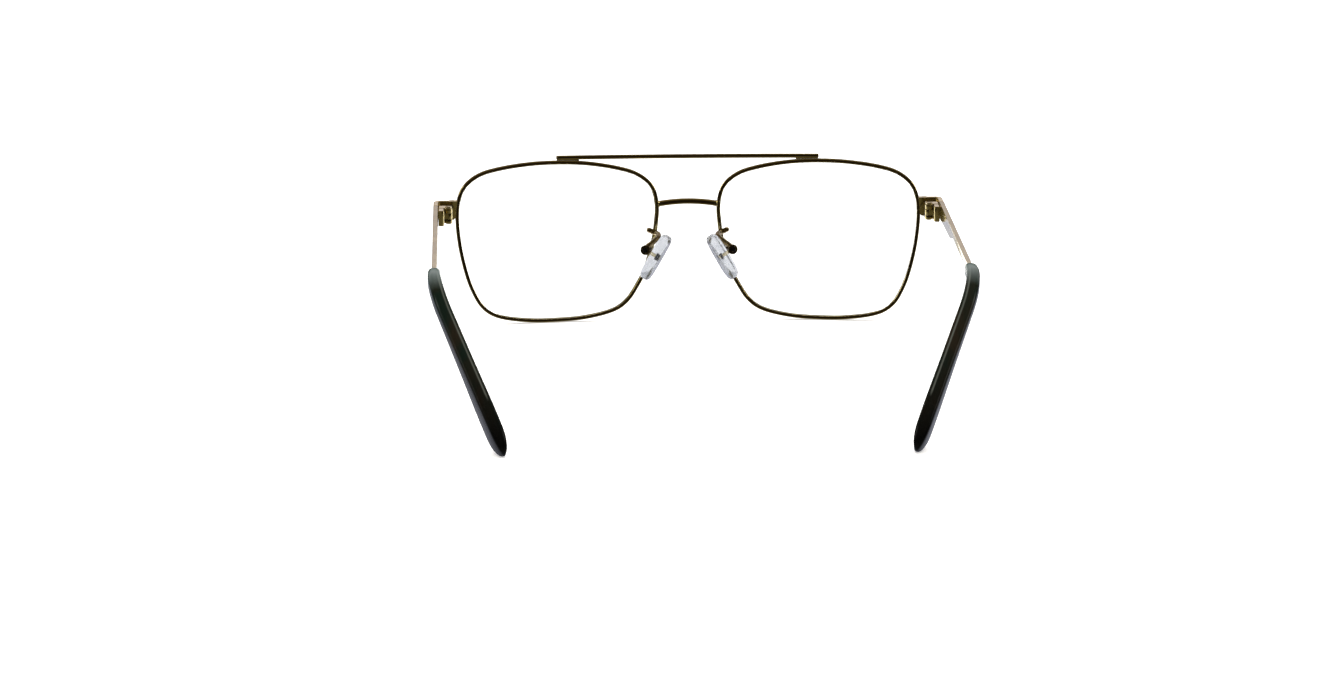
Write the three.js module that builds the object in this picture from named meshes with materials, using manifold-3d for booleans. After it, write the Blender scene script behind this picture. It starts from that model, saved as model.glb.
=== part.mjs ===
// A double-bridge metal spectacle frame with folding temples, as a three.js scene.
// Millimetres, +Z up. The wearer looks along -Y, the wearer's left is +X, and the frame stands
// on the bottoms of its rims and on the ends of its temple tips.

import * as THREE from 'three';
import { mergeVertices } from 'three/addons/utils/BufferGeometryUtils.js';
import Module from 'manifold-3d';

const degrees = Math.PI / 180;

// Lenses and how the front is set up
const lensWidth = 55.8;
const lensHeight = 44.3;
const lensGap = 17.6;
const lensCurveRadius = 132;
const lensThickness = 1.6;
const faceWrap = 4 * degrees;
const frontTilt = 8 * degrees;

// Eye wire: the grooved rim that is bent round each lens
const rimDepth = 1.65;
const rimWall = 0.6;
const rimLip = 0.42;
const rimEdge = 0.28;
const grooveHalfMouth = 0.42;
const rimSlit = 0.1;

// Clearances
const brazeGap = 0.06;
const lensClearance = 0.1;
const hingeClearance = 0.15;
const screwClearance = 0.1;
const socketClearance = 0.12;
const cutOverrun = 3;

// Closing blocks, which hold the two ends of each rim together
const blockWidth = 1.7;
const blockHeight = 2.4;
const blockRound = 0.12;
const lockScrewRadius = 0.45;
const lockHeadRadius = 0.75;
const lockHeadHeight = 0.4;

// Bridge and brow bar
const bridgeHeight = 1.55;
const bridgeDepth = 1.7;
const bridgeRound = 0.45;
const bridgeRise = 0.65;
const bridgeBow = 1.2;
const bridgeLevel = 10.25;
const browHeight = 1;
const browDepth = 1.3;
const browRound = 0.2;
const browBow = 1.3;
const browRise = 0.25;
const browStandoff = 0.25;
const footLength = 6.4;
const footDepth = 1;

// Endpieces: the strip that turns back from each rim to the temple
const endpieceSpread = 6;
const stripThickness = 1.35;
const endpieceHeight = 5;
const endpieceReach = 6.2;
const endpieceBend = 1.9;
const stripEdge = 0.2;

// Hinges, with two knuckles on the front leaf and one on the temple leaf
const hingeHeight = 4.4;
const hingeDrop = 0.4;
const barrelRadius = 1.05;
const middleKnuckle = 1.5;
const leafThickness = 1.6;
const leafLength = 3.2;
const leafRound = 0.7;
const leafEdge = 0.2;
const baseThickness = 0.8;
const baseOverhang = 0.8;
const baseHeight = 3.6;
const hingeScrewRadius = 0.6;
const hingeHeadRadius = 0.92;
const hingeHeadHeight = 0.45;
const screwSlotWidth = 0.25;
const screwSlotDepth = 0.22;

// Temples: a flat paddle behind the hinge, then a slim bar whose end is the core of the tip
const templeLength = 138.5;
const templeConverge = 0.65 * degrees;
const paddleHeight = 4.5;
const paddleEndHeight = 3.7;
const paddleLength = 29;
const stepLength = 7;
const barHeight = 2;
const barEdgeShare = 0.18;
const coreHeight = 1.7;
const coreThickness = 1;
const coreStop = 18;
const bendToEnd = 56.5;
const bendArc = 15;
const bendDown = 53 * degrees;
const bendIn = 20.5 * degrees;
const tipTwist = 7 * degrees;

// Temple tips
const tipLength = 61.5;
const tipHeight = 7.1;
const tipThickness = 3.8;
const tipRound = 0.9;
const tipMouthLength = 6;
const tipNoseLength = 5;
const tipNoseTurn = 80 * degrees;
const tipMouthWall = 0.45;

// Nose pads and what carries them
const padSpacing = 23.8;
const padSetback = 6.6;
const padLevel = -1.75;
const padSlope = 30 * degrees;
const padSplay = 16 * degrees;
const padLength = 14;
const padWidth = 7.6;
const padThickness = 3;
const padStandoff = 0.65;
const padLow = 0.4;
const padCrown = 0.35;
const insertLength = 2.1;
const insertWidth = 2.1;
const insertThickness = 1.3;
const insertDepth = 0.8;
const stemThickness = 0.9;
const stemHeight = 1;
const eyeRadius = 0.8;
const boxRadius = 1.25;
const boxWidth = 2.4;
const boxFloor = 0.42;
const padScrewRadius = 0.4;
const padHeadRadius = 0.7;
const padHeadHeight = 0.3;
const armRadius = 0.52;
const armStub = 2.4;
const armStubRise = 0.75;
const armStubLift = 0.25;
const armBulge = 0.8;
const armLevel = 2.15;

// Finishes: colour, roughness, how metallic, and how opaque
const goldFinish = [0x8a7747, 0.28, 1, 1];
const screwFinish = [0x9c8b5e, 0.3, 1, 1];
const acetateFinish = [0x0c1512, 0.15, 0, 1];
const lensFinish = [0xf4f7fa, 0.05, 0, 0.2];
const padFinish = [0xe6ebf2, 0.3, 0, 0.6];

// How finely round things are cut
const rimSteps = 72;
const outlineSteps = 400;
const rodSides = 14;
const barrelSides = 20;
const cornerSteps = 2;
const bendSteps = 5;
const wireSteps = 20;
const settleRounds = 5;
const pathStep = 0.5;

// The eye shape, from the rim's joint at the temple side over the top and round, as shares of
// the lens's half width and half height
const eyeShares = [
  [1, 0.435], [0.945, 0.69], [0.8, 0.85], [0.61, 0.925], [0.28, 0.985], [0, 1], [-0.3, 0.985],
  [-0.62, 0.92], [-0.805, 0.845], [-0.95, 0.69], [-1, 0.45], [-0.99, 0.22], [-0.965, 0],
  [-0.87, -0.4], [-0.795, -0.575], [-0.71, -0.74], [-0.585, -0.865], [-0.29, -0.965], [0, -0.995],
  [0.28, -0.995], [0.61, -0.93], [0.755, -0.81], [0.845, -0.62], [0.905, -0.42], [0.98, 0],
];

// The pad seen from the side, up from its lowest point at the back, as shares of half its width
// and half its length
const padShares = [
  [0, -1], [0.55, -0.9], [0.92, -0.6], [1, -0.2], [0.94, 0.25], [0.74, 0.68], [0.4, 0.94],
  [0, 1], [-0.4, 0.95], [-0.72, 0.7], [-0.85, 0.25], [-0.85, -0.25], [-0.75, -0.65], [-0.42, -0.92],
];

// The pad's layers from its back to its crown, as shares of its width and thickness
const padLayerShares = [[0.74, 0], [0.95, 0.1], [1, 0.35], [0.98, 0.7], [0.86, 0.92], [0.6, 1]];

// The pad arm's loop behind the rim, as shares of its bulge, of the way back and of the way down
const armLoopShares = [[0.95, 0.22, 0.08], [0.85, 0.5, 0.3], [-0.75, 0.86, 0.66]];

// Where the lens's faces are ringed, as shares of its edge's distance from the centre
const lensRingShares = [0.36, 0.7];

// How tall and thick the tip is at shares of its length, as shares of its greatest size
const tipHeightShares = [[0, 0.5], [0.2, 0.58], [0.5, 0.73], [0.78, 0.96], [0.9, 1], [1, 0.94]];
const tipThicknessShares = [[0, 0.88], [0.25, 0.98], [0.4, 1], [0.6, 0.95], [1, 0.88]];

const wasm = await Module();
wasm.setup();

// Signed volume of a closed triangle mesh, positive when its faces point out.
function volumeOf(points, faces) {
  let sum = 0;
  for (const [a, b, c] of faces) {
    sum += points[a].dot(points[b].clone().cross(points[c]));
  }
  return sum;
}

// A geometry from points and faces, turned so that its faces point out.
function skin(points, faces) {
  const outward = volumeOf(points, faces) > 0;
  const geometry = new THREE.BufferGeometry();
  const values = points.flatMap((p) => p.toArray());
  geometry.setAttribute('position', new THREE.Float32BufferAttribute(values, 3));
  geometry.setIndex(faces.flatMap(([a, b, c]) => (outward ? [a, b, c] : [a, c, b])));
  return geometry;
}

// Skins a row of rings that all have the section's number of points. An open row is closed by
// two caps, cut from the section.
function loft(rings, section, loop = false) {
  const size = section.length;
  const faces = [];
  const spans = loop ? rings.length : rings.length - 1;
  for (let i = 0; i < spans; i += 1) {
    const here = i * size;
    const next = ((i + 1) % rings.length) * size;
    for (let j = 0; j < size; j += 1) {
      const k = (j + 1) % size;
      faces.push([here + j, next + j, next + k]);
      faces.push([here + j, next + k, here + k]);
    }
  }
  if (!loop) {
    const end = (rings.length - 1) * size;
    for (const [a, b, c] of THREE.ShapeUtils.triangulateShape(section, [])) {
      faces.push([a, b, c]);
      faces.push([end + a, end + c, end + b]);
    }
  }
  return skin(rings.flat(), faces);
}

// A closed geometry as a solid that can be cut and joined.
function solid(geometry) {
  const bare = geometry.clone();
  bare.deleteAttribute('normal');
  bare.deleteAttribute('uv');
  const merged = mergeVertices(bare);
  return new wasm.Manifold(new wasm.Mesh({
    numProp: 3,
    vertProperties: Float32Array.from(merged.attributes.position.array),
    triVerts: Uint32Array.from(merged.index.array),
  }));
}

// A solid as a geometry again.
function geometryOf(body) {
  const mesh = body.getMesh();
  const geometry = new THREE.BufferGeometry();
  geometry.setAttribute('position', new THREE.BufferAttribute(Float32Array.from(mesh.vertProperties), 3));
  geometry.setIndex([...mesh.triVerts]);
  return geometry;
}

// A block given by its lowest and highest corners.
function block(low, high) {
  const size = new THREE.Vector3().subVectors(high, low);
  const middle = new THREE.Vector3().addVectors(low, high).multiplyScalar(0.5);
  return new THREE.BoxGeometry(size.x, size.y, size.z).translate(middle.x, middle.y, middle.z);
}

// A round rod along Z, from one level to another.
function rod(radius, bottom, top, sides = rodSides) {
  const geometry = new THREE.CylinderGeometry(radius, radius, top - bottom, sides);
  return geometry.rotateX(Math.PI / 2).translate(0, 0, (bottom + top) / 2);
}

// An outline in plan pulled up from one level to another, with its edges broken.
function slab(shape, bottom, top, edge) {
  const geometry = new THREE.ExtrudeGeometry(shape, {
    depth: top - bottom - 2 * edge,
    bevelEnabled: edge > 0,
    bevelThickness: edge,
    bevelSize: edge,
    bevelOffset: -edge,
    bevelSegments: 1,
    curveSegments: bendSteps,
  });
  return geometry.translate(0, 0, bottom + edge);
}

// A rectangle with its corners cut, as the section of a bar.
function barSection(width, height, edge) {
  const x = width / 2;
  const y = height / 2;
  return [
    [x, edge - y], [x, y - edge], [x - edge, y], [edge - x, y],
    [-x, y - edge], [-x, edge - y], [edge - x, -y], [x - edge, -y],
  ].map(([a, b]) => new THREE.Vector2(a, b));
}

// A rectangle with round corners, as the section of a moulded piece.
function roundSection(width, height, radius) {
  const points = [];
  const round = Math.min(radius, width / 2, height / 2);
  for (let corner = 0; corner < 4; corner += 1) {
    const x = (corner === 0 || corner === 3 ? 1 : -1) * (width / 2 - round);
    const y = (corner < 2 ? 1 : -1) * (height / 2 - round);
    for (let step = 0; step <= cornerSteps; step += 1) {
      const angle = (corner + step / cornerSteps) * (Math.PI / 2);
      points.push(new THREE.Vector2(x + round * Math.cos(angle), y + round * Math.sin(angle)));
    }
  }
  return points;
}

// A value read between the rows of a table of shares.
function valueAt(shares, share) {
  const next = shares.findIndex(([at]) => at >= share);
  if (next <= 0) {
    return shares[0][1];
  }
  const [from, low] = shares[next - 1];
  const [to, high] = shares[next];
  return low + ((high - low) * (share - from)) / (to - from);
}

// A wire of round section along a smooth line through the given points.
function wire(points, radius, steps) {
  const line = new THREE.CatmullRomCurve3(points);
  const circle = new THREE.Shape().absarc(0, 0, radius, 0, 2 * Math.PI);
  return new THREE.ExtrudeGeometry(circle, { steps, extrudePath: line, curveSegments: bendSteps });
}

// A slotted screw that hangs from its head, with the axis on Z and the head's seat at zero.
function screw(shaftRadius, shaftLength, headRadius, headHeight) {
  const rim = headHeight / 2;
  const profile = [
    [0, -shaftLength], [shaftRadius, -shaftLength], [shaftRadius, 0], [headRadius, 0],
    [headRadius, headHeight - rim / 2], [headRadius - rim / 2, headHeight], [0, headHeight],
  ].map(([x, y]) => new THREE.Vector2(x, y));
  const turned = new THREE.LatheGeometry(profile, rodSides).rotateX(Math.PI / 2);
  const slot = block(
    new THREE.Vector3(-headRadius - cutOverrun, -screwSlotWidth / 2, headHeight - screwSlotDepth),
    new THREE.Vector3(headRadius + cutOverrun, screwSlotWidth / 2, headHeight + cutOverrun),
  );
  return geometryOf(solid(turned).subtract(solid(slot)));
}

// The eye outline in the plane of the lens, with the direction that leads out of it.
const eyeCurve = new THREE.CatmullRomCurve3(
  eyeShares.map(([across, up]) => new THREE.Vector3((across * lensWidth) / 2, (up * lensHeight) / 2, 0)),
  true,
);
eyeCurve.arcLengthDivisions = outlineSteps;

function eyeSample(share) {
  const at = eyeCurve.getPointAt(share);
  const along = eyeCurve.getTangentAt(share);
  return { u: at.x, w: at.y, outU: along.y, outW: -along.x };
}

const eyeLoop = Array.from({ length: rimSteps }, (_, i) => eyeSample(i / rimSteps));

// A point at a distance out from the outline and behind the middle of the rim, on the lens curve.
function eyePoint(sample, out, back) {
  const u = sample.u + out * sample.outU;
  const w = sample.w + out * sample.outW;
  return new THREE.Vector3(u, (u * u + w * w) / (2 * lensCurveRadius) + back, w);
}

// The rim's section: a flat wire with a groove on its inner side for the lens's bevel.
const rimSection = [
  [-rimLip, -rimDepth / 2], [rimWall - rimEdge, -rimDepth / 2], [rimWall, rimEdge - rimDepth / 2],
  [rimWall, rimDepth / 2 - rimEdge], [rimWall - rimEdge, rimDepth / 2], [-rimLip, rimDepth / 2],
  [-rimLip, grooveHalfMouth], [0, 0], [-rimLip, -grooveHalfMouth],
].map(([out, back]) => new THREE.Vector2(out, back));

function rimGeometry() {
  const slitShare = rimSlit / eyeCurve.getLength() / 2;
  const rings = [];
  for (let i = 0; i <= rimSteps; i += 1) {
    const share = Math.min(Math.max(i / rimSteps, slitShare), 1 - slitShare);
    const sample = eyeSample(share);
    rings.push(rimSection.map((p) => eyePoint(sample, p.x, p.y)));
  }
  return loft(rings, rimSection);
}

// A lens: two curved faces and an edge with a bevel that lies in the rim's groove.
function lensGeometry() {
  const half = lensThickness / 2;
  const edge = [
    [-rimLip - lensClearance, -half], [-rimLip - lensClearance, lensClearance - grooveHalfMouth],
    [-lensClearance - lensClearance, 0],
    [-rimLip - lensClearance, grooveHalfMouth - lensClearance], [-rimLip - lensClearance, half],
  ];
  const points = [];
  const addRing = (out, back, share) => {
    for (const sample of eyeLoop) {
      const rim = eyePoint(sample, out, 0);
      const u = rim.x * share;
      const w = rim.z * share;
      points.push(new THREE.Vector3(u, (u * u + w * w) / (2 * lensCurveRadius) + back, w));
    }
  };
  for (const share of lensRingShares) {
    addRing(edge[0][0], -half, share);
  }
  for (const [out, back] of edge) {
    addRing(out, back, 1);
  }
  for (const share of [...lensRingShares].reverse()) {
    addRing(edge[0][0], half, share);
  }
  const faces = [];
  const ringCount = points.length / rimSteps;
  for (let i = 0; i < ringCount - 1; i += 1) {
    for (let j = 0; j < rimSteps; j += 1) {
      const k = (j + 1) % rimSteps;
      const here = i * rimSteps;
      const next = here + rimSteps;
      faces.push([here + j, next + j, next + k]);
      faces.push([here + j, next + k, here + k]);
    }
  }
  const front = points.push(new THREE.Vector3(0, -half, 0)) - 1;
  const rear = points.push(new THREE.Vector3(0, half, 0)) - 1;
  const lastRing = (ringCount - 1) * rimSteps;
  for (let j = 0; j < rimSteps; j += 1) {
    const k = (j + 1) % rimSteps;
    faces.push([front, j, k]);
    faces.push([rear, lastRing + k, lastRing + j]);
  }
  return skin(points, faces);
}

// Everything inside the rim's outer outline, to fit what is brazed to the rim against it.
function eyePlug() {
  const outline = eyeLoop.map(({ u, w, outU, outW }) => new THREE.Vector2(
    u + (rimWall + brazeGap) * outU,
    w + (rimWall + brazeGap) * outW,
  ));
  const geometry = new THREE.ExtrudeGeometry(new THREE.Shape(outline), {
    depth: 2 * (rimDepth + cutOverrun) + lensHeight,
    bevelEnabled: false,
  });
  return geometry.translate(0, 0, -rimDepth - cutOverrun - lensHeight / 2).rotateX(Math.PI / 2);
}

// The eyes in the front, and the front on its stand. The front's own frame is upright, and its
// origin is midway between the lenses' centres.
const eyeCentre = (lensWidth + lensGap) / 2;
const eyeMatrix = new THREE.Matrix4().makeRotationZ(faceWrap).setPosition(eyeCentre, 0, 0);
const rimShape = rimGeometry();
const standingRim = rimShape.clone().applyMatrix4(eyeMatrix).rotateX(frontTilt);
standingRim.computeBoundingBox();
const frontLevel = -standingRim.boundingBox.min.z;
const frontMatrix = new THREE.Matrix4().makeRotationX(frontTilt).setPosition(0, 0, frontLevel);
const plug = solid(eyePlug().applyMatrix4(eyeMatrix));
const standingPlug = solid(eyePlug().applyMatrix4(eyeMatrix).applyMatrix4(frontMatrix));

// A point of the left eye in the front's frame.
function inFront(share, out, back) {
  return eyePoint(eyeSample(share), out, back).applyMatrix4(eyeMatrix);
}

// The rim's joint on the temple side, on the stand.
const standingJoint = inFront(0, rimWall, 0).applyMatrix4(frontMatrix);

// Endpiece and hinge places, on the stand
const outerX = standingJoint.x + endpieceSpread;
const innerX = outerX - stripThickness;
const plateRear = standingJoint.y + rimDepth / 2;
const plateFront = plateRear - stripThickness;
const buttY = plateFront + endpieceReach;
const endpieceMiddle = standingJoint.z;
const endpieceTop = endpieceMiddle + endpieceHeight / 2;
const endpieceStart = standingJoint.x + brazeGap + blockWidth + brazeGap;
const hingeMiddle = endpieceMiddle - hingeDrop;
const hingeTop = hingeMiddle + hingeHeight / 2;
const hingeBottom = hingeMiddle - hingeHeight / 2;
const leafOuter = innerX - brazeGap;
const leafInner = leafOuter - leafThickness;
const pinX = leafInner - hingeClearance - barrelRadius;
const pinY = buttY;

// One half of the closing block, above or below the slit in the rim.
function closingBlock(up) {
  const near = rimSlit / 2;
  const left = standingJoint.x + brazeGap - cutOverrun;
  const right = standingJoint.x + brazeGap + blockWidth;
  const front = standingJoint.y - rimDepth / 2;
  const rear = standingJoint.y + rimDepth / 2;
  const shape = new THREE.Shape();
  shape.moveTo(left, front);
  shape.lineTo(right - blockRound, front);
  shape.lineTo(right, front + blockRound);
  shape.lineTo(right, rear - blockRound);
  shape.lineTo(right - blockRound, rear);
  shape.lineTo(left, rear);
  const low = standingJoint.z + (up ? near : -near - blockHeight);
  const body = solid(slab(shape, low, low + blockHeight, 0));
  const bore = rod(lockScrewRadius + screwClearance, low - cutOverrun, low + blockHeight + cutOverrun);
  bore.translate(lockAxisX, standingJoint.y, 0);
  return geometryOf(body.subtract(standingPlug).subtract(solid(bore)));
}

const lockAxisX = standingJoint.x + brazeGap + blockWidth / 2;

// The bridge: a flat wire that arches up and forward between the rims.
function bridgeGeometry() {
  const sectionAtBridge = roundSection(bridgeDepth, bridgeHeight, bridgeRound);
  const reach = lensGap / 2 + rimWall;
  const rear = inFront(noseShare(bridgeLevel), rimWall, 0).y;
  const rings = [];
  const steps = 2 * bendSteps;
  for (let i = 0; i <= steps; i += 1) {
    const share = (2 * i) / steps - 1;
    const arch = 1 - share * share;
    rings.push(sectionAtBridge.map((p) => new THREE.Vector3(
      share * reach,
      rear - bridgeBow * arch + p.x,
      bridgeLevel + bridgeRise * arch + p.y,
    )));
  }
  const other = plug.mirror([1, 0, 0]);
  return geometryOf(solid(loft(rings, sectionAtBridge)).subtract(plug).subtract(other));
}

// The brow bar lies over the rims' tops, from the middle of one lens to the middle of the other.
// It bows forward with the wrap of the rims and arches up a little.
const browRest = inFront(eyeTopShare(), rimWall, 0);

// The middle of the bar's underside at a place across the front.
function browPlace(x) {
  const arch = 1 - (x / eyeCentre) ** 2;
  return new THREE.Vector3(
    x,
    browRest.y - browBow * arch,
    browRest.z + browStandoff + browRise * arch,
  );
}

// The share of the way round the eye at which a measure of the outline's points is least.
function shareWhere(measure) {
  const shares = Array.from({ length: outlineSteps }, (_, i) => i / outlineSteps);
  return shares.reduce((best, share) => (
    measure(eyeSample(share)) < measure(eyeSample(best)) ? share : best
  ));
}

function eyeTopShare() {
  return shareWhere(({ u, w }) => (w > 0 ? Math.abs(u) : lensWidth));
}

function noseShare(level) {
  return shareWhere(({ u, w }) => (u < 0 ? Math.abs(w - level) : lensHeight));
}

function browBar() {
  const section = barSection(browDepth, browHeight, browRound);
  const endSection = barSection(browDepth - 2 * browRound, browHeight - 2 * browRound, browRound / 2);
  const ringAt = (x, outline) => {
    const place = browPlace(x);
    return outline.map((p) => new THREE.Vector3(x, place.y + p.x, place.z + browHeight / 2 + p.y));
  };
  const reach = eyeCentre - browRound;
  const steps = 2 * bendSteps;
  const rings = [ringAt(-eyeCentre, endSection)];
  for (let i = 0; i <= steps; i += 1) {
    rings.push(ringAt(reach * ((2 * i) / steps - 1), section));
  }
  rings.push(ringAt(eyeCentre, endSection));
  return loft(rings, section);
}

// The brazed foot that joins the brow bar's end to the rim's top.
function browFoot() {
  const rings = [];
  for (let i = 0; i <= bendSteps; i += 1) {
    const x = eyeCentre - footLength + ((footLength - browRound) * i) / bendSteps;
    const place = browPlace(x);
    const front = place.y - footDepth / 2;
    const rear = place.y + footDepth / 2;
    const low = browRest.z - cutOverrun;
    const top = place.z - brazeGap;
    rings.push([
      new THREE.Vector3(x, front, low), new THREE.Vector3(x, rear, low),
      new THREE.Vector3(x, rear, top), new THREE.Vector3(x, front, top),
    ]);
  }
  const section = rings[0].map((p) => new THREE.Vector2(p.y, p.z));
  return geometryOf(solid(loft(rings, section)).subtract(plug));
}

// The endpiece: a strip that starts at the closing block, turns the corner and ends at the temple.
function endpiece() {
  const shape = new THREE.Shape();
  const bendInner = endpieceBend - stripThickness;
  shape.moveTo(endpieceStart, plateFront);
  shape.lineTo(outerX - endpieceBend, plateFront);
  shape.absarc(outerX - endpieceBend, plateFront + endpieceBend, endpieceBend, -Math.PI / 2, 0);
  shape.lineTo(outerX, buttY);
  shape.lineTo(innerX, buttY);
  shape.lineTo(innerX, plateFront + endpieceBend);
  shape.absarc(innerX - bendInner, plateFront + endpieceBend, bendInner, 0, -Math.PI / 2, true);
  shape.lineTo(endpieceStart, plateRear);
  return slab(shape, endpieceMiddle - endpieceHeight / 2, endpieceTop, stripEdge);
}

// The front leaf: a base on the endpiece, two knuckles, and the slot for the temple's knuckle.
function frontLeaf() {
  const baseFront = plateRear + brazeGap;
  const baseRear = baseFront + baseThickness;
  const baseInner = pinX - barrelRadius - baseOverhang;
  const baseOuter = innerX - (endpieceBend - stripThickness);
  const baseRadius = baseHeight / 2;
  const plate = new THREE.Shape();
  plate.moveTo(baseOuter, hingeMiddle - baseRadius);
  plate.lineTo(baseOuter, hingeMiddle + baseRadius);
  plate.absarc(baseInner + baseRadius, hingeMiddle, baseRadius, Math.PI / 2, (3 * Math.PI) / 2);
  const base = slab(plate, -baseRear, -baseFront, 0).rotateX(Math.PI / 2);

  const arms = new THREE.Shape();
  arms.moveTo(pinX - barrelRadius, baseFront + baseThickness / 2);
  arms.lineTo(leafOuter, baseFront + baseThickness / 2);
  arms.lineTo(leafOuter, buttY - brazeGap);
  arms.lineTo(pinX + barrelRadius, buttY - brazeGap);
  arms.absarc(pinX, pinY, barrelRadius, 0, Math.PI);

  const free = barrelRadius + hingeClearance;
  const slotBottom = hingeMiddle - middleKnuckle / 2 - hingeClearance;
  const slotTop = hingeMiddle + middleKnuckle / 2 + hingeClearance;
  const round = rod(free, slotBottom, slotTop, barrelSides).translate(pinX, pinY, 0);
  const open = block(
    new THREE.Vector3(pinX - free, pinY, slotBottom),
    new THREE.Vector3(leafOuter + cutOverrun, pinY + free + cutOverrun, slotTop),
  );
  const side = block(
    new THREE.Vector3(pinX - free - cutOverrun, pinY - free / 2, slotBottom),
    new THREE.Vector3(pinX, pinY + free + cutOverrun, slotTop),
  );
  const bore = rod(hingeScrewRadius + screwClearance, hingeBottom - cutOverrun, hingeTop + cutOverrun);
  const knuckles = solid(slab(arms, hingeBottom, hingeTop, leafEdge));
  const cornerRear = baseFront + endpieceBend - stripThickness;
  const corner = block(
    new THREE.Vector3(baseOuter, plateRear - cutOverrun, hingeBottom - cutOverrun),
    new THREE.Vector3(leafOuter + cutOverrun, cornerRear, hingeTop + cutOverrun),
  );
  return geometryOf(knuckles.add(solid(base)).subtract(solid(round)).subtract(solid(open))
    .subtract(solid(side)).subtract(solid(corner)).subtract(solid(bore.translate(pinX, pinY, 0))));
}

// The temple leaf, in the frame of the pin: a plate on the temple and the middle knuckle.
function templeLeaf() {
  const outer = leafOuter - pinX;
  const inner = leafInner - pinX;
  const front = hingeClearance;
  const rear = front + leafLength;
  const plan = new THREE.Shape();
  plan.moveTo(inner, front);
  plan.lineTo(outer, front);
  plan.lineTo(outer, rear);
  plan.lineTo(inner + leafRound, rear);
  plan.absarc(inner + leafRound, rear - leafRound, leafRound, Math.PI / 2, Math.PI);
  const plate = slab(plan, -hingeHeight / 2, hingeHeight / 2, leafEdge);
  const barrel = rod(barrelRadius, -middleKnuckle / 2, middleKnuckle / 2, barrelSides);
  const web = block(
    new THREE.Vector3(0, front, -middleKnuckle / 2),
    new THREE.Vector3(inner + leafThickness / 2, barrelRadius, middleKnuckle / 2),
  );
  const bore = rod(hingeScrewRadius + screwClearance, -cutOverrun, cutOverrun);
  return geometryOf(solid(plate).add(solid(barrel)).add(solid(web)).subtract(solid(bore)));
}

const bendStart = templeLength - bendToEnd;
const tipStart = templeLength - tipLength;

// The temple's line, from the butt joint back along the bar, round the bend and down the tip.
// It starts at zero along +Y. The bend turns it down, in towards the head and a little about itself.
function templeHeading(length) {
  const share = Math.min(Math.max((length - bendStart) / bendArc, 0), 1);
  const down = bendDown * share;
  const inward = bendIn * share;
  const twist = tipTwist * share;
  const along = new THREE.Vector3(
    -Math.sin(inward),
    Math.cos(inward) * Math.cos(down),
    -Math.cos(inward) * Math.sin(down),
  );
  const up = new THREE.Vector3(0, Math.sin(down), Math.cos(down));
  const side = new THREE.Vector3().crossVectors(along, up).normalize();
  up.crossVectors(side, along);
  return {
    along,
    side: side.clone().multiplyScalar(Math.cos(twist)).addScaledVector(up, Math.sin(twist)),
    up: up.clone().multiplyScalar(Math.cos(twist)).addScaledVector(side, -Math.sin(twist)),
  };
}

const templeTrack = [new THREE.Vector3()];
for (let length = 0; length < templeLength; length += pathStep) {
  const step = Math.min(pathStep, templeLength - length);
  const heading = templeHeading(length + step / 2);
  templeTrack.push(templeTrack[templeTrack.length - 1].clone().addScaledVector(heading.along, step));
}

function templePlace(length) {
  const at = Math.min(Math.floor(length / pathStep), templeTrack.length - 2);
  return templeTrack[at].clone().addScaledVector(templeHeading(length).along, length - at * pathStep);
}

// A ring of a section, square across the temple's line at a length along it.
function templeRing(length, section, drop = 0) {
  const { side, up } = templeHeading(length);
  const middle = templePlace(length);
  return section.map((p) => middle.clone().addScaledVector(side, p.x).addScaledVector(up, p.y - drop));
}

// Lengths along the temple at which the bend and what follows it are cut.
function bendLengths(from, to) {
  const lengths = [];
  for (let step = 0; step <= 2 * bendSteps; step += 1) {
    lengths.push(bendStart + (bendArc * step) / (2 * bendSteps));
  }
  return lengths.filter((length) => length > from && length < to);
}

// The temple's metal: paddle, rounded step, bar, and the core that runs on inside the tip.
function templeMetal() {
  const rings = [];
  const edge = barEdgeShare * stripThickness;
  const metalEnd = templeLength - coreStop;
  const addRing = (length, thickness, height) => {
    rings.push(templeRing(length, barSection(thickness, height, edge), (height - barHeight) / 2));
  };
  addRing(hingeClearance, stripThickness, paddleHeight);
  addRing(paddleLength, stripThickness, paddleEndHeight);
  for (let step = 1; step <= bendSteps; step += 1) {
    const share = step / bendSteps;
    const fall = (1 - Math.cos(Math.PI * share)) / 2;
    const height = paddleEndHeight + (barHeight - paddleEndHeight) * fall;
    addRing(paddleLength + stepLength * share, stripThickness, height);
  }
  addRing(tipStart - tipMouthLength, stripThickness, barHeight);
  addRing(tipStart, coreThickness, coreHeight);
  for (const length of bendLengths(tipStart, metalEnd)) {
    addRing(length, coreThickness, coreHeight);
  }
  addRing(metalEnd, coreThickness, coreHeight);
  return loft(rings, barSection(stripThickness, barHeight, edge));
}

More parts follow.
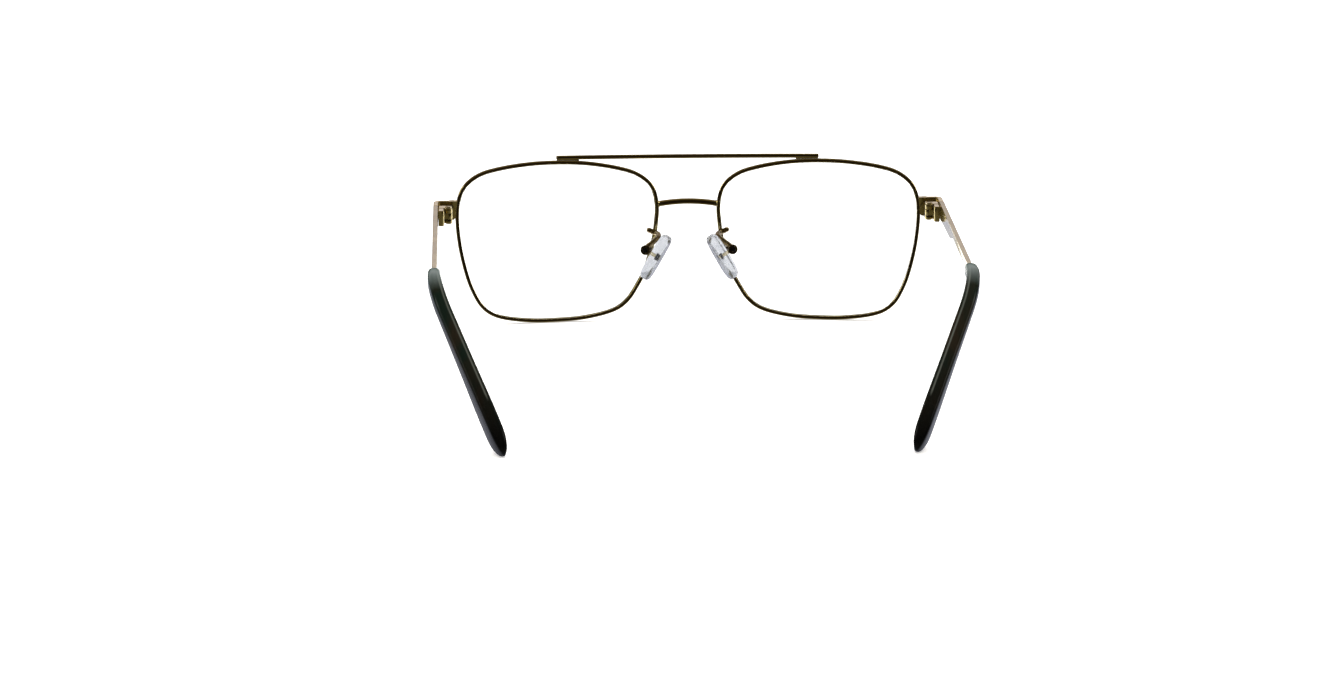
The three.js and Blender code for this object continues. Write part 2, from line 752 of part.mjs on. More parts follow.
// The tip: a moulded sleeve that widens from its mouth to a paddle behind the ear, with a socket
// that follows the core.
function templeTip() {
  const rings = [];
  const addRing = (at, shrink, least) => {
    const share = (at - tipStart) / tipLength;
    const thickness = least + (valueAt(tipThicknessShares, share) * tipThickness - least) * shrink;
    const height = least + (valueAt(tipHeightShares, share) * tipHeight - least) * shrink;
    rings.push(templeRing(at, roundSection(thickness, height, tipRound)));
  };
  const mouth = coreHeight + 2 * (socketClearance + tipMouthWall);
  for (let step = 0; step <= bendSteps; step += 1) {
    const share = step / bendSteps;
    const angle = (share * Math.PI) / 2;
    addRing(tipStart + tipMouthLength * (1 - Math.cos(angle)), Math.sin(angle), mouth);
  }
  for (const at of bendLengths(tipStart + tipMouthLength, templeLength - tipNoseLength)) {
    addRing(at, 1, 0);
  }
  const from = bendStart + bendArc;
  const to = templeLength - tipNoseLength;
  for (let step = 1; step <= bendSteps; step += 1) {
    addRing(from + ((to - from) * step) / bendSteps, 1, 0);
  }
  for (let step = 1; step <= bendSteps; step += 1) {
    const angle = (tipNoseTurn * step) / bendSteps;
    addRing(to + tipNoseLength * Math.sin(angle), Math.cos(angle), 0);
  }
  const sleeve = solid(loft(rings, roundSection(tipThickness, tipHeight, tipRound)));
  const socketEnd = templeLength - coreStop + socketClearance;
  const socketSection = barSection(
    coreThickness + 2 * socketClearance,
    coreHeight + 2 * socketClearance,
    barEdgeShare * coreThickness,
  );
  const drop = (coreHeight - barHeight) / 2;
  const socketLengths = [tipStart - pathStep, ...bendLengths(tipStart, socketEnd), socketEnd];
  const socket = loft(socketLengths.map((at) => templeRing(at, socketSection, drop)), socketSection);
  return geometryOf(sleeve.subtract(solid(socket)));
}

// The temple stands at the small rise that brings its tip's end down to the rims' level.
const templeShape = templeMetal();
const tipShape = templeTip();
const bowLevel = endpieceTop - barHeight / 2;

function standingRise() {
  const position = tipShape.attributes.position;
  let rise = 0;
  for (let round = 0; round < settleRounds; round += 1) {
    let lowest = { y: 0, z: 0, level: 0 };
    for (let i = 0; i < position.count; i += 1) {
      const y = position.getY(i);
      const z = position.getZ(i);
      const level = y * Math.sin(rise) + z * Math.cos(rise);
      if (level < lowest.level) {
        lowest = { y, z, level };
      }
    }
    const reach = Math.hypot(lowest.y, lowest.z);
    rise = Math.asin(-bowLevel / reach) - Math.atan2(lowest.z, lowest.y);
  }
  return rise;
}

const templeRise = standingRise();

// Nose pads. A pad and its box share a frame on the pad's screw: X points away from the nose, Y
// runs back along the screw, and Z points up the pad.
const armRimShare = noseShare(armLevel);
const armRim = inFront(armRimShare, 0, rimDepth / 2 + brazeGap + armRadius);
const armInner = inFront(armRimShare, -armStub, rimDepth / 2 + brazeGap + armRadius + armStubLift);
armInner.z += armStubRise;
const boxPlace = new THREE.Vector3(padSpacing / 2, armRim.y + padSetback - armRadius, padLevel);

function acrossPad(geometry) {
  return geometry.rotateX(-Math.PI / 2);
}

function padBox() {
  const drum = solid(acrossPad(rod(boxRadius, -boxWidth / 2, boxWidth / 2, barrelSides)));
  const slotHalf = stemThickness / 2 + hingeClearance;
  const slot = block(
    new THREE.Vector3(-boxRadius - cutOverrun, -slotHalf, -boxRadius - cutOverrun),
    new THREE.Vector3(boxRadius - boxFloor, slotHalf, boxRadius + cutOverrun),
  );
  const bore = acrossPad(rod(padScrewRadius + screwClearance, -boxWidth, boxWidth));
  return geometryOf(drum.subtract(solid(slot)).subtract(solid(bore)));
}

const padBack = -boxRadius - padStandoff;
const insertFace = padBack - insertDepth;

function padMetal(grow) {
  const stem = block(
    new THREE.Vector3(insertFace - grow, -stemThickness / 2 - grow, -stemHeight / 2 - grow),
    new THREE.Vector3(0, stemThickness / 2 + grow, stemHeight / 2 + grow),
  );
  const plateBack = insertFace - insertThickness;
  const plate = block(
    new THREE.Vector3(plateBack - grow, -insertWidth / 2 - grow, -insertLength / 2 - grow),
    new THREE.Vector3(insertFace + grow, insertWidth / 2 + grow, insertLength / 2 + grow),
  );
  return solid(stem).add(solid(plate));
}

// The metal cast into the pad: a plate, a stem, and the eye that the pad's screw goes through.
function padInsert() {
  const eye = acrossPad(rod(eyeRadius, -stemThickness / 2, stemThickness / 2, barrelSides));
  const bore = acrossPad(rod(padScrewRadius + screwClearance, -boxWidth, boxWidth));
  return geometryOf(padMetal(0).add(solid(eye)).subtract(solid(bore)));
}

// The clear pad: a crowned D, narrower at its top, with a pocket round the cast metal.
function nosePad() {
  const outline = new THREE.CatmullRomCurve3(
    padShares.map(([back, up]) => new THREE.Vector3(0, (back * padWidth) / 2, (up * padLength) / 2)),
    true,
  ).getPoints(2 * padShares.length).slice(0, -1);
  const rings = padLayerShares.map(([size, depth]) => outline.map((p) => {
    const up = (2 * p.z) / padLength;
    return new THREE.Vector3(
      padBack - depth * (padThickness - padCrown * up * up),
      p.y * size,
      p.z * (1 - (1 - size) * (padWidth / padLength)) - padLow,
    );
  }));
  const section = outline.map((p) => new THREE.Vector2(p.y, p.z));
  const body = solid(loft(rings, section));
  return geometryOf(body.subtract(padMetal(socketClearance)));
}

// The wire that carries the pad's box: a stub across the rim's back, a loop towards the nose, and
// a leg out to the box.
function padArm() {
  const fall = armRim.z - boxPlace.z - boxRadius;
  const loop = armLoopShares.map(([bulge, back, down]) => new THREE.Vector3(
    armRim.x - bulge * armBulge,
    armRim.y + back * (boxPlace.y - armRim.y),
    armRim.z - down * fall,
  ));
  const end = boxPlace.clone().add(new THREE.Vector3(0, 0, boxRadius / 2));
  const points = [armInner, armRim, ...loop, end];
  const keepOut = acrossPad(rod(boxRadius + brazeGap, -boxWidth, boxWidth, barrelSides));
  const placed = keepOut.applyMatrix4(padMatrix);
  return geometryOf(solid(wire(points, armRadius, wireSteps)).subtract(solid(placed)));
}

const padTurn = new THREE.Euler(0, -padSlope, -padSplay, 'ZYX');
const padMatrix = new THREE.Matrix4().makeRotationFromEuler(padTurn).setPosition(boxPlace);

// The same geometry for the other side of the face.
function handed(geometry, side) {
  if (side > 0) {
    return geometry;
  }
  const other = (geometry.index ? geometry.toNonIndexed() : geometry.clone()).scale(-1, 1, 1);
  const position = other.attributes.position;
  const first = new THREE.Vector3();
  const second = new THREE.Vector3();
  for (let i = 0; i < position.count; i += 3) {
    first.fromBufferAttribute(position, i + 1);
    second.fromBufferAttribute(position, i + 2);
    position.setXYZ(i + 1, second.x, second.y, second.z);
    position.setXYZ(i + 2, first.x, first.y, first.z);
  }
  return other;
}

function piece(name, geometry, [color, roughness, metalness, opacity], side = 1) {
  const transparent = opacity < 1;
  const material = new THREE.MeshStandardMaterial({ color, roughness, metalness, opacity, transparent });
  const mesh = new THREE.Mesh(handed(geometry, side), material);
  mesh.name = name;
  return mesh;
}

// A group placed for the left side, or mirrored to the right.
function sideGroup(side, position, rotation = new THREE.Euler()) {
  const group = new THREE.Group();
  group.position.set(position.x * side, position.y, position.z);
  group.rotation.set(rotation.x, rotation.y * side, rotation.z * side, rotation.order);
  return group;
}

const lensShape = lensGeometry();
const upperBlock = closingBlock(true);
const lowerBlock = closingBlock(false);
const lockScrew = screw(lockScrewRadius, 2 * blockHeight, lockHeadRadius, lockHeadHeight).rotateX(Math.PI);
const hingeScrew = screw(hingeScrewRadius, hingeHeight, hingeHeadRadius, hingeHeadHeight);
const padScrew = acrossPad(screw(padScrewRadius, boxWidth, padHeadRadius, padHeadHeight));
const endpieceShape = endpiece();
const frontLeafShape = frontLeaf();
const templeLeafShape = templeLeaf();
const footShape = browFoot();
const armShape = padArm();
const boxShape = padBox();
const insertShape = padInsert();
const padShape = nosePad();

const glasses = new THREE.Group();
const front = new THREE.Group();
front.rotation.x = frontTilt;
front.position.z = frontLevel;
front.add(piece('bridge', bridgeGeometry(), goldFinish));
front.add(piece('brow_bar', browBar(), goldFinish));
glasses.add(front);

for (const [hand, side] of [['left', 1], ['right', -1]]) {
  const eye = sideGroup(side, new THREE.Vector3(eyeCentre, 0, 0), new THREE.Euler(0, 0, faceWrap));
  eye.add(piece(`rim_${hand}`, rimShape, goldFinish, side));
  eye.add(piece(`lens_${hand}`, lensShape, lensFinish, side));
  front.add(eye);

  front.add(piece(`brow_foot_${hand}`, footShape, goldFinish, side));
  glasses.add(piece(`closing_block_upper_${hand}`, upperBlock, goldFinish, side));
  glasses.add(piece(`closing_block_lower_${hand}`, lowerBlock, goldFinish, side));
  const lock = sideGroup(side, new THREE.Vector3(
    lockAxisX,
    standingJoint.y,
    standingJoint.z - rimSlit / 2 - blockHeight - brazeGap,
  ));
  lock.add(piece(`lock_screw_${hand}`, lockScrew, screwFinish, side));
  glasses.add(lock);

  front.add(piece(`pad_arm_${hand}`, armShape, goldFinish, side));
  const seat = sideGroup(side, boxPlace, padTurn);
  seat.add(piece(`pad_box_${hand}`, boxShape, goldFinish, side));
  seat.add(piece(`pad_insert_${hand}`, insertShape, screwFinish, side));
  seat.add(piece(`nose_pad_${hand}`, padShape, padFinish, side));
  const padFastener = sideGroup(side, new THREE.Vector3(0, boxWidth / 2 + brazeGap, 0));
  padFastener.add(piece(`pad_screw_${hand}`, padScrew, screwFinish, side));
  seat.add(padFastener);
  front.add(seat);

  glasses.add(piece(`endpiece_${hand}`, endpieceShape, goldFinish, side));
  glasses.add(piece(`hinge_front_leaf_${hand}`, frontLeafShape, goldFinish, side));
  const pinHead = sideGroup(side, new THREE.Vector3(pinX, pinY, hingeTop + brazeGap));
  pinHead.add(piece(`hinge_screw_${hand}`, hingeScrew, screwFinish, side));
  glasses.add(pinHead);

  const leaf = sideGroup(
    side,
    new THREE.Vector3(pinX, pinY, hingeMiddle),
    new THREE.Euler(0, 0, templeConverge),
  );
  leaf.add(piece(`hinge_temple_leaf_${hand}`, templeLeafShape, goldFinish, side));
  glasses.add(leaf);
  const bow = sideGroup(
    side,
    new THREE.Vector3(outerX - stripThickness / 2, buttY, bowLevel),
    new THREE.Euler(templeRise, 0, templeConverge),
  );
  bow.add(piece(`temple_${hand}`, templeShape, goldFinish, side));
  bow.add(piece(`temple_tip_${hand}`, tipShape, acetateFinish, side));
  glasses.add(bow);
}

// The part's origin is under the middle of the standing frame.
const extent = new THREE.Box3().setFromObject(glasses, true);
const root = new THREE.Group();
glasses.position.y = -(extent.min.y + extent.max.y) / 2;
root.add(glasses);

export default root;
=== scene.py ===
"""A folding metal spectacle frame, dressed for a still picture.

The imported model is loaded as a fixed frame. Each operator makes one piece, or one group of like
pieces, in the place of the solid that it stands for. Pieces are drawn in millimetres and are set
down in metres. The wearer looks along -Y, and the wearer's left is +X. Of a pair, the left piece
is drawn and the right one is its mirror image.
"""

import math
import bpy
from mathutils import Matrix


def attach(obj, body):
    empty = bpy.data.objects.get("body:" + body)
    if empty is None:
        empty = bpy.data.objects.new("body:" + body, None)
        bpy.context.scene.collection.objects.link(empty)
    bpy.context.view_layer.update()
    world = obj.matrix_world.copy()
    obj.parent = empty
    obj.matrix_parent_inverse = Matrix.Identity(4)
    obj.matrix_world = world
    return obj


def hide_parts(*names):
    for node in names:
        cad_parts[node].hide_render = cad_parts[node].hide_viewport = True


bl_info = {
    "name": "Spectacle Frame Dressing",
    "version": (1, 0, 0),
    "blender": (4, 5, 0),
    "location": "View3D > Sidebar > Spectacles",
    "description": "Models and finishes the pieces of a folding metal spectacle frame",
    "category": "Object",
}

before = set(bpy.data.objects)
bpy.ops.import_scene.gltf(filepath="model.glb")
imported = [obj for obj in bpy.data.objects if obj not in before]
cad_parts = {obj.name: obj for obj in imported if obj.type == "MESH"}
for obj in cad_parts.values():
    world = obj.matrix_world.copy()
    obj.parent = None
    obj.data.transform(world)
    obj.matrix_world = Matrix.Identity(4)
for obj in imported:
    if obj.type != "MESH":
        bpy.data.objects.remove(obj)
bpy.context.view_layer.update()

import bpy
from bpy.props import FloatProperty, FloatVectorProperty, IntProperty, PointerProperty
from mathutils import Matrix, Vector

MILLIMETRE = 0.001
HANDS = ("left", "right")

# Two places along the stock that are closer than this, in millimetres, are the same.
HAIR = 0.001

# The record's material slot for each finish.
SLOTS = {
    "metal": "frame_metal", "bronze": "frame_metal", "screw": "screws", "steel": "screws",
    "tip": "tip", "lens": "lens", "pad": "pad",
}

# Where the front stands: its tilt about X, the place of its own origin, and the wrap of each eye.
FRONT_TILT = math.radians(8)
FRONT_PLACE = (0, -63.1925, 22.2917)
EYE_WRAP = math.radians(4)
EYE_CENTRE = 36.7

# Places in the front's own frame: the bridge's line at the rims, and the brow bar's at its ends.
BRIDGE_LEVEL = 10.25
BRIDGE_REAR = 1.4736
BROW_LEVEL = 23.5
BROW_REAR = 1.9578

# Where each temple starts, its rise towards the ear and its turn towards the head.
TEMPLE_PLACE = (70.2129, -53.5081, 34.148)
TEMPLE_RISE = math.radians(1.8095)
TEMPLE_CONVERGE = math.radians(0.65)

# The eye shape, from the rim's joint over the top and round, as shares of the lens's half size.
EYE_SHARES = [
    (1, 0.435), (0.945, 0.69), (0.8, 0.85), (0.61, 0.925), (0.28, 0.985), (0, 1), (-0.3, 0.985),
    (-0.62, 0.92), (-0.805, 0.845), (-0.95, 0.69), (-1, 0.45), (-0.99, 0.22), (-0.965, 0),
    (-0.87, -0.4), (-0.795, -0.575), (-0.71, -0.74), (-0.585, -0.865), (-0.29, -0.965),
    (0, -0.995), (0.28, -0.995), (0.61, -0.93), (0.755, -0.81), (0.845, -0.62), (0.905, -0.42),
    (0.98, 0),
]

# How many times the eye shape is eased, so that the table's kinks don't show.
EYE_EASINGS = 6

# Half the mouth of the rim's groove, and the rounding of its lips, mouth and bottom.
GROOVE_HALF = 0.42
LIP_ROUND = 0.22
MOUTH_ROUND = 0.05
BOTTOM_ROUND = 0.06

# A lens's faces that turn further to the side than this are its ground edge, which carries painted
# shade.
EDGE_FACING = 0.8

# The bridge's stations in its braze, as shares of its reach, and the share that the braze takes.
BRAZE_STATIONS = (0.94, 0.965, 0.985, 1)
BRAZE_SHARE = 0.1

# The pad seen from the side, as shares of half its width and half its length.
PAD_SHARES = [
    (0, -1), (0.55, -0.9), (0.92, -0.6), (1, -0.2), (0.94, 0.25), (0.74, 0.68), (0.4, 0.94),
    (0, 1), (-0.4, 0.95), (-0.72, 0.7), (-0.85, 0.25), (-0.85, -0.25), (-0.75, -0.65),
    (-0.42, -0.92),
]

# The pad arm's line, from its stub over the lens to the pad's box, in the standing frame, and the
# thickness of the stub's first rings as shares of the wire's.
ARM_POINTS = [
    (11.5302, -61.3888, 25.8949), (9.1444, -61.1902, 24.8276), (8.3844, -59.8352, 24.7973),
    (8.4644, -58.0657, 24.4389), (9.7444, -55.7612, 23.7694), (11.9, -54.7021, 22.3489),
]
STUB_SHARES = (0.45, 0.8, 0.95)
PAD_PLACE = (11.9, -54.6151, 21.73)
PAD_SLOPE = math.radians(30)
PAD_SPLAY = math.radians(16)

# How tall and thick the tip is at shares of its length, as shares of its greatest size.
TIP_HEIGHT_SHARES = [(0, 0.5), (0.2, 0.58), (0.5, 0.73), (0.78, 0.96), (0.9, 1), (1, 0.94)]
TIP_THICKNESS_SHARES = [(0, 0.88), (0.25, 0.96), (0.4, 0.98), (0.6, 0.98), (0.8, 1), (1, 0.94)]

# Angles round the tip's rounded mouth and nose, and how far the mouth's rounding reaches.
MOUTH_ANGLES = [math.radians(angle) for angle in (25, 45, 65, 90)]
MOUTH_REACH = 3
NOSE_ANGLES = [math.radians(angle) for angle in (12, 24, 36, 48, 60, 72, 82)]

# The wall of the tip round its socket, and the steps that each bend is made in.
SOCKET_WALL = 0.45
BEND_STEPS = 18

# The picture's size and the place in it of the fitted point, in pixels. That point's height is in
# millimetres, and so is the width of the camera's sensor.
PICTURE_WIDE, PICTURE_TALL = 1340, 700
FITTED_PIXEL = (687.4, 195.2)
FITTED_HEIGHT = 35.1
SENSOR_WIDTH = 36

# The name, place, size, power and tint of each soft light.
LIGHTS = (
    ("overhead_light", (0, -0.05, 0.9), 1.3, 17, (1.0, 0.985, 0.96)),
    ("left_light", (1.1, 0.15, 0.55), 0.5, 2.5, (1.0, 0.98, 0.95)),
    ("right_light", (-1.1, 0.15, 0.55), 0.5, 2.5, (1.0, 0.98, 0.95)),
)
LIGHTS_AIM = Vector((0, 0, 0.02))


def length(name, description, default):
    """A size in millimetres that a user can change."""
    return FloatProperty(name=name, description=description, default=default, min=0, unit="NONE")


def degrees(name, description, default):
    """An angle that a user can change, with its default in degrees."""
    return FloatProperty(
        name=name, description=description, default=math.radians(default), subtype="ANGLE"
    )


def colour(name, description, default):
    """A colour that a user can change."""
    return FloatVectorProperty(
        name=name, description=description, default=default, subtype="COLOR", min=0, max=1
    )


class SpectacleFrontSizes(bpy.types.PropertyGroup):
    """Sizes of the rims, lenses, bridge and brow bar, in millimetres."""

    lens_width: length("Lens width", "Width of the eye shape at the groove", 55.8)
    lens_height: length("Lens height", "Height of the eye shape at the groove", 44.3)
    lens_curve: length("Lens curve", "Radius that the lens and the rim are bent to", 132)
    rim_depth: length("Rim depth", "Depth of the eye wire from front to back", 1.65)
    rim_wall: length("Rim wall", "Metal outside the bottom of the groove", 0.6)
    rim_lip: length("Rim lip", "Depth of the groove that holds the lens", 0.42)
    rim_round: length("Rim round", "Rounding of the eye wire's outer edges", 0.34)
    rim_slit: length("Rim slit", "Gap between the two ends of the rim", 0.02)
    bridge_height: length("Bridge height", "Height of the bridge wire", 1.55)
    bridge_depth: length("Bridge depth", "Depth of the bridge wire", 1.7)
    bridge_round: length("Bridge round", "Rounding of the bridge wire's edges", 0.45)
    bridge_reach: length("Bridge reach", "Half the length of the bridge, into the rims", 8.6)
    bridge_rise: length("Bridge rise", "How far the bridge arches up", 0.65)
    bridge_bow: length("Bridge bow", "How far the bridge arches forward", 1.2)
    bridge_flare: FloatProperty(
        name="Bridge flare", description="Swelling of the braze at the bridge's ends",
        default=1.35, min=1, max=2,
    )
    brow_height: length("Brow bar height", "Height of the brow bar", 1.18)
    brow_depth: length("Brow bar depth", "Depth of the brow bar", 1.3)
    brow_round: length("Brow bar round", "Rounding of the brow bar's edges", 0.3)
    brow_bow: length("Brow bar bow", "How far the brow bar bows forward", 1.3)
    brow_rise: length("Brow bar rise", "How far the brow bar arches up", 0.05)


class SpectaclePadSizes(bpy.types.PropertyGroup):
    """Sizes of the nose pads and their arms, in millimetres."""

    pad_length: length("Pad length", "Length of a nose pad", 14)
    pad_width: length("Pad width", "Width of a nose pad", 7.6)
    pad_thickness: length("Pad thickness", "Thickness of a nose pad", 3)
    pad_round: length("Pad round", "Rounding of the pad's edges", 1.05)
    pad_back: length("Pad back", "Distance of the pad's back from its screw", 1.9)
    pad_low: length("Pad drop", "How far the pad hangs below its screw", 0.4)
    arm_radius: length("Arm radius", "Half the thickness of the pad arm's wire", 0.74)


class SpectacleTempleSizes(bpy.types.PropertyGroup):
    """Sizes of the temples and their tips, in millimetres."""

    strip: length("Temple thickness", "Thickness of the temple's metal", 1.35)
    edge: length("Temple edge", "Rounding of the temple's edges", 0.16)
    paddle_height: length("Paddle height", "Height of the temple behind the hinge", 4.5)
    paddle_end: length("Paddle end height", "Height of the paddle where it steps down", 3.7)
    paddle_length: length("Paddle length", "Length of the wide part of the temple", 29)
    step_length: length("Step length", "Length of the step from paddle to bar", 7)
    bar_height: length("Bar height", "Height of the slim bar", 2)
    bar_end: length("Bar end", "Distance of the bar's end from the tip's mouth", 6)
    core_height: length("Core height", "Height of the core in the tip", 1.7)
    core_thickness: length("Core thickness", "Thickness of the core in the tip", 1)
    core_end: length("Core end", "Length of the temple's metal to the end of its core", 120.5)
    front_gap: length("Front gap", "Gap between the temple and the endpiece", 0.15)
    temple_length: length("Temple length", "Length along the temple to the end of its tip", 138.5)
    bend_start: length("Bend start", "Length along the temple to the bend", 82)
    bend_arc: length("Bend length", "Length of the bend", 15)
    tip_start: length("Tip start", "Length along the temple to the tip's mouth", 77)
    tip_height: length("Tip height", "Greatest height of the tip", 7.1)
    tip_thickness: length("Tip thickness", "Greatest thickness of the tip", 3.8)
    tip_round: length("Tip round", "Rounding of the tip's edges", 1.15)
    tip_mouth: length("Tip mouth", "Height and thickness of the tip's mouth", 2.84)
    tip_nose: length("Tip nose", "Length of the tip's rounded end", 7)
    bend_down: degrees("Bend down", "How far the temple turns down behind the ear", 53)
    bend_in: degrees("Bend in", "How far the temple turns in towards the head", 20.5)
    twist: degrees("Twist", "How far the tip turns about itself", 7)


class SpectacleColours(bpy.types.PropertyGroup):
    """Colours of the metal, the tips, the lenses and the pads."""

    metal: colour("Metal", "Pale gold of the frame", (0.70, 0.57, 0.24))
    tarnish: colour("Tarnish", "Darker gold in the metal's hollows", (0.48, 0.37, 0.14))
    screw: colour("Screws", "Paler metal of the screws", (0.76, 0.66, 0.42))
    bronze: colour("Bronze", "Browner metal of the pad arms", (0.28, 0.20, 0.085))
    # Painted shade: this metal is near black so that it stands in for the shaded pocket of the
    # pads' inserts, which is not modelled; the pad screws share it.
    steel: colour("Steel", "Dark metal that is cast into the pads", (0.015, 0.015, 0.015))
    tip: colour("Tip", "Dark green of the tips", (0.004, 0.009, 0.006))
    tip_marbling: colour("Tip marbling", "Dark brown in the tips", (0.012, 0.009, 0.005))
    # Painted light: the grey green stands in for light that shines through the thin acetate near
    # the mouth.
    tip_mouth: colour("Tip mouth", "Grey green of the tips' thin ends", (0.10, 0.135, 0.125))
    lens: colour("Lens", "Faint tint of the lenses", (0.985, 0.992, 0.99))
    # Painted shade: the lens's edge is coloured dark for the shade in the rim's groove seen through
    # it.
    lens_edge_painted_shade: colour("Ground edge", "Groove seen in a lens's edge", (0.05, 0.04, 0.018))
    pad: colour("Pad", "Faint tint of the clear pads", (0.38, 0.40, 0.44))
    floor: colour("Floor", "The pale floor", (0.93, 0.93, 0.93))


class SpectacleStage(bpy.types.PropertyGroup):
    """The camera and the floor."""

    elevation: degrees("Elevation", "How far above the floor the camera looks from", 16.3)
    azimuth: degrees("Azimuth", "How far the camera stands round from behind the frame", 2.4)
    roll: degrees("Roll", "How far the camera leans", -0.1)
    distance: FloatProperty(
        name="Distance", description="Distance of the camera", default=1.1, unit="LENGTH",
    )
    lens_length: FloatProperty(
        name="Focal length", description="Focal length of the camera in millimetres",
        default=105.68, subtype="DISTANCE_CAMERA",
    )
    floor_radius: FloatProperty(
        name="Floor radius", description="Radius of the floor", default=1.6, unit="LENGTH",
    )
    floor_sides: IntProperty(
        name="Floor sides", description="Sides of the round floor", default=96, min=3,
    )


# Modelling helpers


def object_mode():
    """Leaves edit mode."""
    if bpy.context.mode != "OBJECT":
        bpy.ops.object.mode_set(mode="OBJECT")


def select_nothing():
    """Goes to object mode with no object selected."""
    object_mode()
    bpy.ops.object.select_all(action="DESELECT")


def alone(piece):
    """Leaves one object selected, active and in object mode."""
    select_nothing()
    piece.select_set(True)
    bpy.context.view_layer.objects.active = piece


def pick(piece, kind, test):
    """Selects the faces or vertices of a piece that pass a test, in edit mode."""
    alone(piece)
    bpy.ops.object.mode_set(mode="EDIT")
    bpy.ops.mesh.select_mode(type=kind)
    bpy.ops.mesh.select_all(action="DESELECT")
    object_mode()
    for item in {"VERT": piece.data.vertices, "FACE": piece.data.polygons}[kind]:
        item.select = test(item)
    bpy.ops.object.mode_set(mode="EDIT")


def pull(piece, test, move):
    """Moves the vertices of a piece that pass a test."""
    pick(piece, "VERT", test)
    bpy.ops.transform.translate(value=move)
    object_mode()


def pick_all(piece):
    """Selects all of a piece in edit mode."""
    alone(piece)
    bpy.ops.object.mode_set(mode="EDIT")
    bpy.ops.mesh.select_all(action="SELECT")


def face_outwards(piece):
    """Merges doubles and turns all faces outwards."""
    pick_all(piece)
    bpy.ops.mesh.remove_doubles(threshold=0.0001)
    bpy.ops.mesh.normals_make_consistent(inside=False)
    object_mode()


def adjust(thing, settings):
    """Sets what is named on a curve, a modifier or a node."""
    for key, value in settings.items():
        setattr(thing, key, value)


def apply_modifier(piece, kind, **settings):
    """Adds a modifier, sets it and applies it."""
    alone(piece)
    modifier = piece.modifiers.new(kind.title(), kind)
    adjust(modifier, settings)
    bpy.ops.object.modifier_apply(modifier=modifier.name)


def set_down(piece, sharp, place=Matrix.Identity(4)):
    """Smooths a piece drawn in millimetres where its faces meet at less than a sharp angle in
    degrees, and moves it to its place, in metres, with its object at the origin."""
    alone(piece)
    bpy.ops.object.shade_smooth_by_angle(angle=math.radians(sharp))
    piece.matrix_world = Matrix.Scale(MILLIMETRE, 4) @ place
    bpy.ops.object.transform_apply(location=True, rotation=True, scale=True)


def hand_over(piece, body, node, finish):
    """Gives a piece its finish and its body, smooths the normals of metal pieces, and hides the
    solid that it stands for.
    """
    slot = SLOTS[finish]
    if slot in ("frame_metal", "screws"):
        apply_modifier(piece, "WEIGHTED_NORMAL", keep_sharp=True)
    piece.data.materials.clear()
    piece.data.materials.append(finish_for(finish))
    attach(piece, body)
    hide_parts(node)


def both_hands(piece, body, node, finish):
    """Mirrors the left piece of a pair, and hands over both."""
    alone(piece)
    bpy.ops.object.duplicate()
    other = bpy.context.object
    other.name = other.data.name = piece.name.replace("left", "right")
    other.scale.x = -1
    bpy.ops.object.transform_apply(location=False, rotation=False, scale=True)
    pick_all(other)
    bpy.ops.mesh.normals_make_consistent(inside=False)
    object_mode()
    for hand, one in zip(HANDS, (piece, other)):
        hand_over(one, body.format(hand), node.format(hand), finish)


def smooth_line(points, steps, closed=False):
    """Points along a centripetal curve through the given points, which may have 2 or 3 values."""
    points = [Vector(point) for point in points]
    count = len(points)
    if not closed:
        points = [2 * points[0] - points[1], *points, 2 * points[-1] - points[-2]]
    line = []
    for span in range(count if closed else count - 1):
        if closed:
            four = [points[(span + shift) % count] for shift in (-1, 0, 1, 2)]
        else:
            four = points[span:span + 4]
        gaps = [math.sqrt((b - a).length) for a, b in zip(four, four[1:])]
        before, here, there, after = four
        leave = gaps[1] * (
            (here - before) / gaps[0] - (there - before) / (gaps[0] + gaps[1])
        ) + (there - here)
        arrive = gaps[1] * (
            (after - there) / gaps[2] - (after - here) / (gaps[1] + gaps[2])
        ) + (there - here)
        for step in range(steps):
            t = step / steps
            line.append(
                here * (2 * t ** 3 - 3 * t ** 2 + 1)
                + leave * (t ** 3 - 2 * t ** 2 + t)
                + there * (3 * t ** 2 - 2 * t ** 3)
                + arrive * (t ** 3 - t ** 2)
            )
    if not closed:
        line.append(points[-2])
    return line


def outline(shares, width, height, steps):
    """A smooth closed line through shares of half its width and half its height."""
    return smooth_line(
        [(across * width / 2, up * height / 2) for across, up in shares], steps, closed=True
    )


def value_at(shares, share, steps=12):
    """A value read from a smooth line through a table of shares."""
    line = smooth_line(shares, steps)
    for low, high in zip(line, line[1:]):
        if share <= high.x:
            part = (share - low.x) / (high.x - low.x)
            return low.y + (high.y - low.y) * max(part, 0)
    return line[-1].y


def spaced(start, end, count):
    """Evenly spaced values after a start, up to and with an end."""
    return [start + (end - start) * step / count for step in range(1, count + 1)]


def rounded(corners, steps=4):
    """A section whose corners, each given with a radius, are rounded."""
    section = []
    for index, (x, y, radius) in enumerate(corners):
        here = Vector((x, y))
        before = (Vector(corners[index - 1][:2]) - here).normalized()
        after = (Vector(corners[(index + 1) % len(corners)][:2]) - here).normalized()
        reach = radius / math.tan(before.angle(after) / 2)
        start = here + before * reach
        end = here + after * reach
        for step in range(steps + 1):
            t = step / steps
            section.append((1 - t) ** 2 * start + 2 * t * (1 - t) * here + t ** 2 * end)
    return section


def draw_line(name, points, sizes=None, closed=False, **settings):
    """A curve of straight steps through points, with its own settings."""
    select_nothing()
    bpy.ops.curve.primitive_nurbs_path_add()
    line = bpy.context.object
    line.name = line.data.name = name
    line.data.splines.clear()
    spline = line.data.splines.new("POLY")
    spline.points.add(len(points) - 1)
    for index, (knot, point) in enumerate(zip(spline.points, points)):
        knot.co = (*point, *[0] * (3 - len(point)), 1)
        knot.radius = sizes[index] if sizes else 1
    spline.use_cyclic_u = closed
    adjust(line.data, settings)
    return line


def to_mesh(line):
    """A curve as a closed mesh that faces outwards."""
    alone(line)
    bpy.ops.object.convert(target="MESH")
    piece = bpy.context.object
    face_outwards(piece)
    return piece


